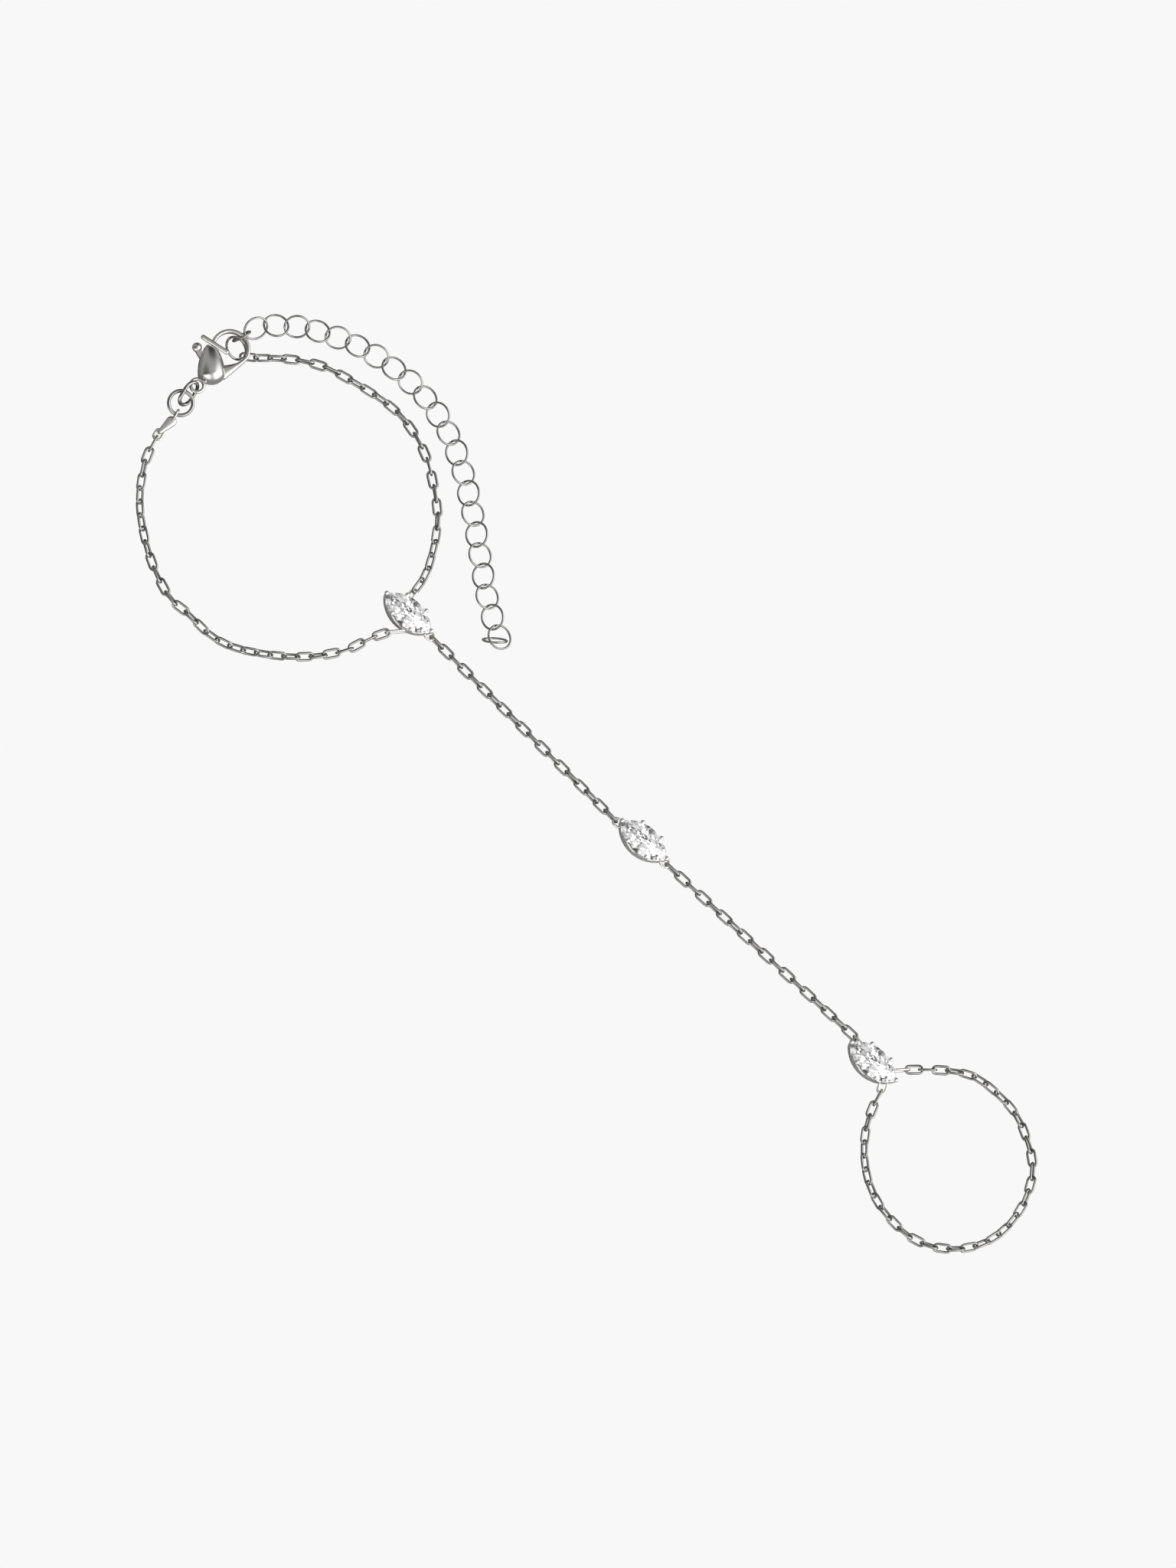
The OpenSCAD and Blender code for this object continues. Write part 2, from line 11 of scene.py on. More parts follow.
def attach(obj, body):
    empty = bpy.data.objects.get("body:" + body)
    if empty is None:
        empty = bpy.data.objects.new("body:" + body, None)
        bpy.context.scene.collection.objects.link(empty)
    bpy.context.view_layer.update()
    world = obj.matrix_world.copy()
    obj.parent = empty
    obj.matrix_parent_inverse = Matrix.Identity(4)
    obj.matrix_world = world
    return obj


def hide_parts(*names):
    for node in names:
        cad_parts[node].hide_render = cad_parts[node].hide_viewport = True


bl_info = {
    "name": "Hand chain bracelet",
    "version": (1, 0, 0),
    "blender": (4, 5, 0),
    "location": "3D View > Sidebar > Bracelet",
    "description": "Chains, clasp, claw settings and marquise stones of a hand chain bracelet",
    "category": "Add Mesh",
}

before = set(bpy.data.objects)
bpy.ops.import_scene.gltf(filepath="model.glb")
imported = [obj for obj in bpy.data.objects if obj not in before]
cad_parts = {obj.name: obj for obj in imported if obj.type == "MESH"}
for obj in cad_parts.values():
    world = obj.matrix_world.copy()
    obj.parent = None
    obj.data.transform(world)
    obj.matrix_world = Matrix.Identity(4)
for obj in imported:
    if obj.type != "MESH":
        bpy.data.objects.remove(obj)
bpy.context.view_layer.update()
MM = 0.001
# A ring counts as round when it is less than this longer than it is wide
ROUND_WITHIN = 0.002

# Centres of the wrist and finger stones, and the turn of all three stones against the hand chain
WRIST = np.array([0, 42.7, 0])
MIDDLE = np.zeros(3)
FINGER = np.array([0, -41.6, 0])
STONE_TURN = math.radians(3.7)

# Routes of the chains, seen from above. The wrist's are measured from the wrist stone and the
# finger's from the finger stone
ROUTE_LEFT = [[-9.1, 38.6], [-12.1, 36.8], [-14.7, 34.6], [-17.2, 31.4], [-19.2, 27.9],
    [-20.7, 23.6], [-20.5, 20.3], [-20.6, 17.2], [-19.9, 14], [-18.2, 11], [-15.4, 7.4],
    [-12.3, 4.5], [-8.9, 2.3], [-5.8, 1.3]]
ROUTE_RIGHT = [[11.2, 37.5], [12.7, 36], [14.9, 33.5], [16.8, 30.4], [17.9, 27], [18.9, 22.8],
    [19.3, 19.5], [18.9, 16.2], [17.7, 12.7], [15.6, 9.4], [13, 6.2], [10.4, 4.2], [7.6, 2.6],
    [5.4, 1.7]]
ROUTE_FINGER = [[4.3, -5.3], [6.8, -8], [8.7, -11], [9.2, -14.8], [8.9, -18.4], [7.4, -21.8],
    [5.3, -24.7], [2.1, -26.6], [-1.5, -27.5], [-5.3, -27.3], [-8.7, -25.8], [-11.5, -23.1],
    [-13.1, -19.9], [-13.4, -16.2], [-12.7, -12.4], [-10.9, -9.1], [-8.1, -6.3], [-4.8, -4.4]]
ROUTE_EXTENDER = [[15.1, 39.5], [17.2, 37.7], [19.7, 34], [22, 29], [23.2, 23.5], [23.3, 18],
    [22.1, 13], [19.9, 8.4], [17, 4], [14, 0], [10.9, -3.9], [8.5, -7.2], [7.2, -9.5], [6, -12]]
# Rolls of the links in degrees: how far they sway from a true crossing, and how far each chain
# turns over its first and last UPRIGHT_LINKS links. The left chain and the finger loop share theirs
LOOP_SWAY = 14
LOOP_UPRIGHT = 45
RIGHT_SWAY = 12
RIGHT_UPRIGHT = 44
RIGHT_ROLL = 46
HAND_SWAY = 8
UPRIGHT_LINKS = 5
# Lean that all rings of the extender share, in degrees
EXTENDER_LEAN = 14

# The clasp's own directions: x to the hook's side, y from its eye to the hook's top
CLASP_AT = WRIST + [4.1, 39.3, 0]
CLASP_TURN = math.radians(-47.4)
# Where the right wrist chain and the extender begin, in the clasp's directions
CABLE_START = [4.22, 4.19, 0.54]
EXTENDER_START = [4.54, 7.42, 1.59]
# Centre of the hook's bend, and the angles between which its bar runs
HOOK_AT = np.array([2.45, 4.75])
HOOK_START = -30
HOOK_END = 167
# Edges of the web that joins the lobe to the hook's bar
WEB_INNER = [[0.3, 2.3], [0.9, 2.36], [1.6, 2.48], [2.5, 2.64], [3.3, 2.9], [3.9, 3.29]]
WEB_OUTER = [[0.3, 0.8], [0.9, 0.35], [1.75, 0.6], [2.75, 1.5], [3.7, 2.4], [4.3, 2.96]]
EYE_AT = [-1.95, -0.42, 0]
# The lever's pin, and half its length
PIVOT_AT = [-0.31, 3.27, 0]
PIN_D = 0.6
PIN_HALF = 0.9
# Ends of the beak's rod, how deep it lies in the hook's end, and its gap to the lobe's cut top
BEAK_FROM = [-1.32, 5.95]
BEAK_TO = [1.8, 4.1]
BEAK_SINK = 0.02
BEAK_GAP = 0.1
# The lobe's widest place and the start of its foot, along the clasp, and the foot's radius and
# height
LOBE_WIDE_Y = 1.2
LOBE_FOOT_Y = -0.2
LOBE_FOOT_R = 2
LOBE_FOOT_H = 0.9
LOBE_LEAN = math.radians(3)
# How far the lever's slot reaches below the pivot, its inner wall, and the height over which the
# top of its two cheeks is rounded and how much narrower they get there
SLOT_BELOW = 1
SLOT_WALL_X = 0.75
CHEEK_ROUND = 0.12
CHEEK_NARROW = 0.15

# Centre and heading, pitch and roll in degrees, of the rings and links that lie freely
LAST_RING = (WRIST + [5.7, -10.6, 1.7], [-46, 0, 114])
HOOK_LINK = ([3.99, 6.64, 1.39], [15, -51, 117])
CONNECTOR_RING = ([3.37, 5.09, 0.97], [0, 26, -8])
EYE_LINK = (WRIST + [0.9, 40.52, 1.62], [14, -28, 51])
END_RING = (WRIST + [-0.69, 40.37, 1.34], [0, -10, 9])
# Outer length and width, and wire, of the rings that have no sizes of their own below
HOOK_LINK_SIZE = (2.95, 2.3, 0.3)
CONNECTOR_SIZE = (3.5, 3.5, 0.34)
EYE_LINK_SIZE = (3.9, 2.8)
# Where the ring holds the cap, how the cap lies and how its other loop points to the chain, how
# far from the ring's joint the leaf begins (in ring wires with their play), how deep the loops'
# feet lie in the leaf, and how square the leaf's section is
CAP_GRIP = np.array([-1, -0.44, 0]) / math.hypot(1, 0.44)
CAP_DIRECTION = np.array([-1, 0.05, 0]) / math.hypot(1, 0.05)
CAP_TAIL = np.array([-1, -0.35, 0]) / math.hypot(1, 0.35)
CAP_AWAY = 1.25
CAP_FOOT = 0.4
CAP_SQUARE = 2.8

# Play between a stone and its seat, how far the wall's rim lies below the girdle, how far the
# wall bulges, and the heights of a claw's foot and of its ball's middle over the girdle
SEAT_PLAY = 0.03
RIM_BELOW = 0.05
BULGE = 0.05
CLAW_FOOT_Z = 0.3
CLAW_OVER = 0.38
# How far outside the wall the loop at a setting's tip holds its chain
TIP_JOINT = 0.55
GIRDLE_FACETS = 32

# Mirrors of the stones' mosaic, in two sizes: width in millimetres, length to width, and lean
LARGE_MIRRORS = (0.5, 1.9, 0.9)
SMALL_MIRRORS = (0.2, 1.4, 0.7)
# Strength of the painted glow of a stone's mirror, which stands for light sent back from the whole
# tent
PAINTED_GLOW = 0.32
# Share of the stone's face that is mosaic, and the rest is clear glass
MOSAIC_SHARE = 0.8

# The camera: directions of the photograph's right and up and towards its viewer, the point in its
# middle, the height that it shows, the distance in metres and the sensor in millimetres
VIEW_RIGHT = Vector((0.6607, -0.7193, 0.2147))
VIEW_UP = Vector((0.6841, 0.6947, 0.2223))
VIEW_BACK = Vector((-0.309, 0, 0.951))
VIEW_AT = Vector((0.92, 10.31, 0)) * MM
VIEW_HEIGHT = 204.8 * MM
VIEW_DISTANCE = 2
SENSOR = 36

# Soft lamps and dark cloths of the light tent: centre, inner and outer angle in degrees, and
# brightness, each laid over those before it. TENT_LIGHT is the plain cloth's brightness
TENT = [
    ((0.3, -0.85, 0.45), 22, 60, 2.3),
    ((-0.95, -0.1, 0.28), 12, 42, 1.9),
    ((0.8, 0.6, 0.3), 14, 42, 0.05),
    ((-0.62, 0.5, 0.6), 10, 42, 0.1),
]
TENT_LIGHT = 0.46
# Grey of the paper in the metal's reflections, the floor's half width in metres, its squares a
# side, and how far it lies below the part
FLOOR_DIM = "#a6a6a6"
FLOOR_HALF = 3.0
FLOOR_SQUARES = 4
FLOOR_BELOW = 0.02


def linear(hex_colour):
    """A colour written as an sRGB hex value, in the linear values that Blender uses."""
    srgb = [int(hex_colour[i:i + 2], 16) / 255 for i in (1, 3, 5)]
    return [c / 12.92 if c <= 0.04045 else ((c + 0.055) / 1.055) ** 2.4 for c in srgb]


def size(name, description, millimetres, low, high):
    """A length as a property, from its default, lowest and highest value in millimetres."""
    return bpy.props.FloatProperty(name=name, description=description, default=millimetres * MM,
        min=low * MM, max=high * MM, unit="LENGTH", precision=5)


def colour(name, description, hex_colour):
    """A colour as a property, from its default as an sRGB hex value."""
    return bpy.props.FloatVectorProperty(name=name, description=description, subtype="COLOR",
        size=3, min=0, max=1, default=linear(hex_colour))


class ChainSizes(bpy.types.PropertyGroup):
    """Sizes of the cable links and of the extender's rings."""

    link_l: size("Link length", "Outer length of a cable link", 2.65, 2.4, 3)
    link_w: size("Link width", "Outer width of a cable link", 1.36, 1.24, 1.5)
    link_d: size("Link wire", "Thickness of the link wire", 0.34, 0.28, 0.36)
    play: size("Play", "Play between two linked wires", 0.15, 0.12, 0.18)
    lift: size("Lift", "Height of the chain's lowest point", 0.02, 0, 0.1)
    ring_od: size("Ring size", "Outer diameter of an extender ring", 3.46, 3, 3.8)
    ring_d: size("Ring wire", "Thickness of the extender's wire", 0.29, 0.24, 0.32)
    ring_lean: bpy.props.FloatProperty(name="Ring lean", subtype="ANGLE",
        description="Lean of each ring to one side or the other of the extender's own lean",
        default=math.radians(30), min=math.radians(26), max=math.radians(34))


class SettingSizes(bpy.types.PropertyGroup):
    """Sizes of the stones and of their claw settings."""

    stone_l: size("Stone length", "Length of a stone from tip to tip", 7.7, 7, 8.4)
    stone_w: size("Stone width", "Width of a stone", 3.9, 3.6, 4.4)
    crown_h: size("Crown height", "Height of the crown above the girdle", 0.62, 0.5, 0.8)
    pavilion_h: size("Pavilion depth", "Depth of the pavilion below the girdle", 1.5, 1.2, 1.7)
    girdle_h: size("Girdle height", "Height of the girdle band", 0.1, 0.06, 0.2)
    table_in: size("Table inset", "How far the table lies inside the girdle", 0.85, 0.7, 1.1)
    girdle_z: size("Stone height", "Height of the girdle above the surface", 2.3, 2.2, 2.8)
    wall_t: size("Wall", "Thickness of a setting's wall", 0.34, 0.26, 0.44)
    floor_t: size("Floor", "Thickness of a setting's floor", 0.3, 0.2, 0.4)
    flare_out: size("Flare", "How far the wall's top stands outside the stone", 0.12, 0.06, 0.2)
    foot_in: size("Foot inset", "How far the wall's foot lies inside the stone", 0.12, 0.08, 0.2)
    dip_h: size("Dip", "How deep the wall dips between the claws", 0.55, 0.3, 0.8)
    claw_d: size("Claw", "Thickness of a claw", 0.5, 0.4, 0.6)
    bead_d: size("Claw tip", "Diameter of a claw's ball tip", 0.62, 0.5, 0.7)
    claw_y: size("Claw spacing", "Distance of the side claws from the middle", 1.6, 1.3, 2)


class ClaspSizes(bpy.types.PropertyGroup):
    """Sizes of the lobster clasp, its rings and the end cap."""

    lobe_r: size("Lobe radius", "Half width of the lobe at its widest", 1.8, 1.7, 1.85)
    lobe_h: size("Lobe height", "Half height of the lobe at its thickest", 1.7, 1.6, 1.75)
    lobe_top_r: size("Lobe top radius", "Half width of the lobe at its top", 0.65, 0.6, 0.75)
    lobe_l: size("Lobe length", "Length of the lobe", 5.1, 5, 5.15)
    hook_r: size("Hook radius", "Radius of the hook's centre line", 2.38, 2.3, 2.46)
    hook_t: size("Hook width", "Width of the hook's bar from above", 0.56, 0.4, 0.6)
    hook_h: size("Hook height", "Height of the hook's bar", 0.9, 0.7, 1)
    beak_d: size("Beak", "Thickness of the beak's rod", 0.64, 0.5, 0.66)
    slot_w: size("Slot", "Width of the lever's slot", 0.76, 0.6, 0.9)
    eye_od: size("Eye", "Outer diameter of the clasp's eye", 2.2, 2, 2.3)
    eye_d: size("Eye wire", "Thickness of the eye's wire", 0.45, 0.35, 0.5)
    heavy_d: size("Heavy wire", "Thickness of the end ring and eye link", 0.5, 0.4, 0.54)
    end_od: size("End ring", "Outer diameter of the end ring", 3.7, 3.5, 3.9)
    cap_l: size("Cap length", "Length of the end cap's leaf", 3.1, 2.6, 3.3)
    cap_w: size("Cap width", "Width of the leaf at the ring's end", 1.4, 1.2, 1.5)
    cap_tip_w: size("Cap tip", "Width of the leaf at the chain's end", 0.6, 0.5, 0.7)
    cap_t: size("Cap thickness", "Thickness of the end cap", 0.9, 0.7, 1.1)


class Finishes(bpy.types.PropertyGroup):
    """Colours of the metals and of the stones."""

    plate: colour("Plate", "Rhodium plate of the chains", "#afaeac")
    setting: colour("Settings", "Rhodium plate of the cast settings", "#f6f5f3")
    polish: colour("Polished silver", "Cast and polished clasp", "#d8d7d4")
    stone: colour("Stone", "Clear cubic zirconia", "#fdfdfd")
    floor: colour("Floor", "Pale studio paper", "#f8f8f8")


def in_millimetres(group):
    """The group's lengths in millimetres and its other values as they are, under their names."""
    kinds = group.bl_rna.properties
    return SimpleNamespace(**{key: getattr(group, key) / (MM if kinds[key].unit == "LENGTH" else 1)
        for key in type(group).__annotations__})


# Surfaces, as numpy grids


def surface(points, wrap_rows=False, close_ends=False):
    """Corners and faces of surfaces given as points[copy, row, column]. Each square joins a point
    to its neighbours, columns run full circle, and a closed end has a fan to its row's middle.
    The faces are turned outwards by the sign of the enclosed volume."""
    if points.ndim == 3:
        points = points[None]
    copies, rows, columns = points.shape[:3]
    number = np.arange(rows * columns).reshape(rows, columns)
    right, below = np.roll(number, -1, 1), np.roll(number, -1, 0)
    squares = np.stack([number, right, np.roll(right, -1, 0), below], -1)
    squares = (squares if wrap_rows else squares[:-1]).reshape(-1, 4)
    corners = points.reshape(copies, -1, 3)
    fans = np.zeros((0, 3), int)
    if close_ends:
        middles = points[:, [0, -1]].mean(2)
        corners = np.concatenate([corners, middles], 1)
        first = np.stack([right[0], number[0], np.full(columns, rows * columns)], -1)
        last = np.stack([number[-1], right[-1], np.full(columns, rows * columns + 1)], -1)
        fans = np.concatenate([first, last])
    thirds = np.concatenate([squares[:, :3], squares[:, [0, 2, 3]], fans])
    a, b, c = corners[0][thirds].swapaxes(0, 1)
    if np.einsum("ij,ij->i", a, np.cross(b, c)).sum() < 0:
        squares, fans = squares[:, ::-1], fans[:, ::-1]
    step = corners.shape[1] * np.arange(copies)[:, None, None]
    return corners.reshape(-1, 3), [(squares + step).reshape(-1, 4), (fans + step).reshape(-1, 3)]


def unit(v):
    """Vectors divided by their lengths."""
    return v / np.linalg.norm(v, axis=-1, keepdims=True)


def axes(along, roll=0):
    """Three directions as rows: X along a line, Y level across it and Z square to both, the last
    two then turned about the line by the roll. For an upright line, Y is the part's own."""
    x = unit(np.asarray(along, float))
    y = unit(np.stack([-x[..., 1], x[..., 0], np.zeros_like(x[..., 0])], -1) + [0, 1e-9, 0])
    z = np.cross(x, y)
    c, s = (np.asarray(f(np.radians(roll)))[..., None] for f in (np.cos, np.sin))
    return np.stack([x, c * y + s * z, c * z - s * y], -2)


def about_z(angle):
    """Turn about +Z, as rows that a row vector is multiplied by."""
    c, s = math.cos(angle), math.sin(angle)
    return np.array([[c, s, 0], [-s, c, 0], [0, 0, 1]])


def oval(long, wide, wire, around, sides):
    """Rings of round wire. The wire's middle runs round two half circles that are moved apart by
    the length's excess over the width, and its section is a circle in the plane of the ring's
    axis and the outward direction. long may be an array, with a ring for each length. The points
    of a round ring stand evenly round it."""
    stretch = np.atleast_1d(np.maximum(np.asarray(long, float) - wide, 0))
    half = around // 2
    if stretch.max() < ROUND_WITHIN:
        angle = np.linspace(-np.pi / 2, 3 * np.pi / 2, around, endpoint=False)
    else:
        angle = np.linspace(-np.pi / 2, np.pi / 2, half)
        angle = np.concatenate([angle, angle + np.pi])
    side = np.where(np.arange(around) < half, 0.5, -0.5)
    out = np.stack([np.cos(angle), np.sin(angle), np.zeros(around)], -1)
    turn = np.linspace(0, 2 * np.pi, sides, endpoint=False)[:, None]
    section = np.cos(turn) * out[:, None] + np.sin(turn) * [0, 0, 1]
    ring = out[:, None] * (wide - wire) / 2 + section * wire / 2
    shift = stretch[:, None, None, None] * side[:, None, None] * [1, 0, 0]
    return ring + shift


def links(starts, ends, wide, wire, play, roll, around=16, sides=6):
    """Links between joints: each oval is longer than its joints' distance by two wires and the
    play, and lies along them with its own roll."""
    starts, ends = np.atleast_2d(starts), np.atleast_2d(ends)
    along = ends - starts
    ovals = oval(np.linalg.norm(along, axis=1) + 2 * wire + play, wide, wire, around, sides)
    turned = np.einsum("nrcd,nde->nrce", ovals, axes(along, np.atleast_1d(roll)))
    return turned + ((starts + ends) / 2)[:, None, None]


def posed(points, at, turn):
    """Points turned by roll about X, pitch about Y and heading about Z, and moved to a place."""
    heading, pitch, roll = np.radians(turn)
    about = Matrix.Rotation(heading, 3, "Z") @ Matrix.Rotation(pitch, 3, "Y")
    return points @ np.array(about @ Matrix.Rotation(roll, 3, "X")).T + at


def joints(route, pitch, odd=0, steps=10):
    """A Catmull-Rom curve through the route's points, drawn with a few steps a span, then cut
    into equal lengths: an odd or even number of them, nearest to the wanted pitch."""
    p = np.asarray(route, float)
    q = np.concatenate([p[:1], p, p[-1:]])
    a, b, c, d = q[:-3], q[1:-2], q[2:-1], q[3:]
    t = np.arange(steps)[:, None, None] / steps
    curve = 0.5 * (2 * b + (c - a) * t + (2 * a - 5 * b + 4 * c - d) * t**2
        + (3 * b - a - 3 * c + d) * t**3)
    curve = np.concatenate([curve.swapaxes(0, 1).reshape(-1, 3), p[-1:]])
    run = np.concatenate([[0], np.cumsum(np.linalg.norm(np.diff(curve, axis=0), axis=1))])
    count = 2 * round((run[-1] / pitch - odd) / 2) + odd
    at = np.linspace(0, run[-1], count + 1)
    return np.stack([np.interp(at, run, curve[:, k]) for k in range(3)], -1)


def lathe(start, end, along, radius, sides):
    """Round bars: a circle of each radius stands across the line from start to end, at each
    distance along it. start and end may be arrays, with a bar for each pair."""
    start, end = np.atleast_2d(start).astype(float), np.atleast_2d(end).astype(float)
    x, y, z = np.moveaxis(axes(end - start), -2, 0)[:, :, None, None]
    turn = np.linspace(0, 2 * np.pi, sides, endpoint=False)[:, None]
    along, radius = np.asarray(along)[:, None, None], np.asarray(radius)[:, None, None]
    return start[:, None, None] + along * x + radius * (np.cos(turn) * y + np.sin(turn) * z)


def round_bar(start, end, thick, sides=24):
    """A bar with round ends: its radius follows a half circle at either end."""
    length = float(np.linalg.norm(np.subtract(end, start)))
    turn = np.linspace(np.pi, np.pi / 2, 8)[1:]
    head = thick / 2 * np.stack([np.cos(turn), np.sin(turn)], -1)
    tail = head[::-1] * [-1, 1] + [length, 0]
    profile = np.concatenate([head, tail])
    return lathe(start, end, profile[:, 0], profile[:, 1], sides)


def soldered_loop(foot, joint, wide, roll, c):
    """A link between its foot in a solid piece and the joint that it holds."""
    return surface(links(foot, joint, wide, c.link_d, c.play, roll, 28, 10), wrap_rows=True)


def placed(points, place):
    """Points of a setting or stone, turned with the stones and moved to their place."""
    return points @ about_z(STONE_TURN) + place


def in_clasp(points, z):
    """Points of the clasp's own frame, in the part's frame, at a height of its middle plane."""
    return np.asarray(points, float) @ about_z(CLASP_TURN) + CLASP_AT + [0, 0, z]


def whole_route(start, route, home, z, *end):
    """A chain's route at one height, after its own first point and before its last, if given."""
    flat = np.asarray(route, float)
    level = np.concatenate([flat, np.full((len(flat), 1), z)], 1) + home
    return np.vstack([start, level, *end])


def piece(name, surfaces, finish, body, nodes, sharp=35):
    """One named mesh from several surfaces, smooth but for edges sharper than an angle, which
    rides on a body and stands for CAD nodes."""
    corners, faces, first = [], [], 0
    for points, kinds in surfaces:
        corners.append(points)
        for kind in kinds:
            faces.extend((kind + first).tolist() if len(kind) else [])
        first += len(points)
    mesh = bpy.data.meshes.new(name)
    mesh.from_pydata((np.concatenate(corners) * MM).tolist(), [], faces)
    mesh.validate()
    if sharp:
        mesh.shade_smooth()
        mesh.set_sharp_from_angle(angle=math.radians(sharp))
    mesh.materials.append(finish)
    made = bpy.data.objects.new(name, mesh)
    bpy.context.scene.collection.objects.link(made)
    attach(made, body)
    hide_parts(*nodes)
    return made


# Finishes


def add_node(tree, kind, inputs=None, **settings):
    """Adds a node with its settings, then links or sets each of its inputs."""
    node = tree.nodes.new(kind)
    for key, value in settings.items():
        setattr(node, key, value)
    for key, value in (inputs or {}).items():
        if isinstance(value, bpy.types.NodeSocket):
            tree.links.new(value, node.inputs[key])
        else:
            node.inputs[key].default_value = value
    return node


def new_material(name):
    """A material with no nodes yet, and its node tree."""
    made = bpy.data.materials.new(name)
    made.use_nodes = True
    made.node_tree.nodes.clear()
    return made, made.node_tree


# Metals: their light tone (a colour of Finishes), darker tone, roughness and depth of the waves
# that polishing leaves
METALS = {
    # Rhodium electroplate on drawn wire, of chains and rings: mirror-like and rather dark grey
    "rhodium_plate": ("plate", "#9b9a98", 0.1, 0.25),
    # Rhodium electroplate on the cast settings: a satin, nearly white sheen
    "cast_plate": ("setting", "#e6e5e3", 0.3, 0.25),
    # Cast and wheel-polished silver of the clasp: broad soft bands of light
    "polished_silver": ("polish", "#cac9c6", 0.22, 0.08),
    # Stamped and tumbled silver of the end cap: a satin sheen with a fine unevenness
    "satin_silver": ("polish", "#cac9c6", 0.28, 0.4),
}


def metal(name, finishes):
    """One of the metals: bright, with faint haze between its clean places, a slightly darker tone
    in patches and the soft unevenness of its polish."""
    made = bpy.data.materials.get(name)
    if made:
        return made
    tone, shade, roughness, waves = METALS[name]
    made, tree = new_material(name)
    place = add_node(tree, "ShaderNodeTexCoord").outputs["Object"]
    # Haze in patches of 0.6 mm
    haze = add_node(tree, "ShaderNodeTexNoise", {"Vector": place, "Scale": 1 / (0.6 * MM),
        "Detail": 3})
    gloss = add_node(tree, "ShaderNodeMapRange", {"Value": haze.outputs["Fac"],
        "From Min": 0.35, "From Max": 0.7, "To Min": roughness, "To Max": roughness + 0.06})
    # Tone in patches of 2 mm
    patches = add_node(tree, "ShaderNodeTexNoise", {"Vector": place, "Scale": 1 / (2 * MM),
        "Detail": 2})
    tint = add_node(tree, "ShaderNodeMix", {"Factor": patches.outputs["Fac"],
        6: [*getattr(finishes, tone), 1], 7: [*linear(shade), 1]}, data_type="RGBA")
    # Waves of the polish, 0.35 mm apart. Real ones are shallower: these are up to a hundredth of
    # a millimetre deep, so that they show
    ripple = add_node(tree, "ShaderNodeTexNoise", {"Vector": place, "Scale": 1 / (0.35 * MM),
        "Detail": 1})
    bump = add_node(tree, "ShaderNodeBump", {"Height": ripple.outputs["Fac"],
        "Strength": waves, "Distance": 0.01 * MM})
    shader = add_node(tree, "ShaderNodeBsdfPrincipled", {"Base Color": tint.outputs[2],
        "Metallic": 1, "Roughness": gloss.outputs["Result"], "Normal": bump.outputs["Normal"]})
    add_node(tree, "ShaderNodeOutputMaterial", {"Surface": shader.outputs["BSDF"]})
    return made


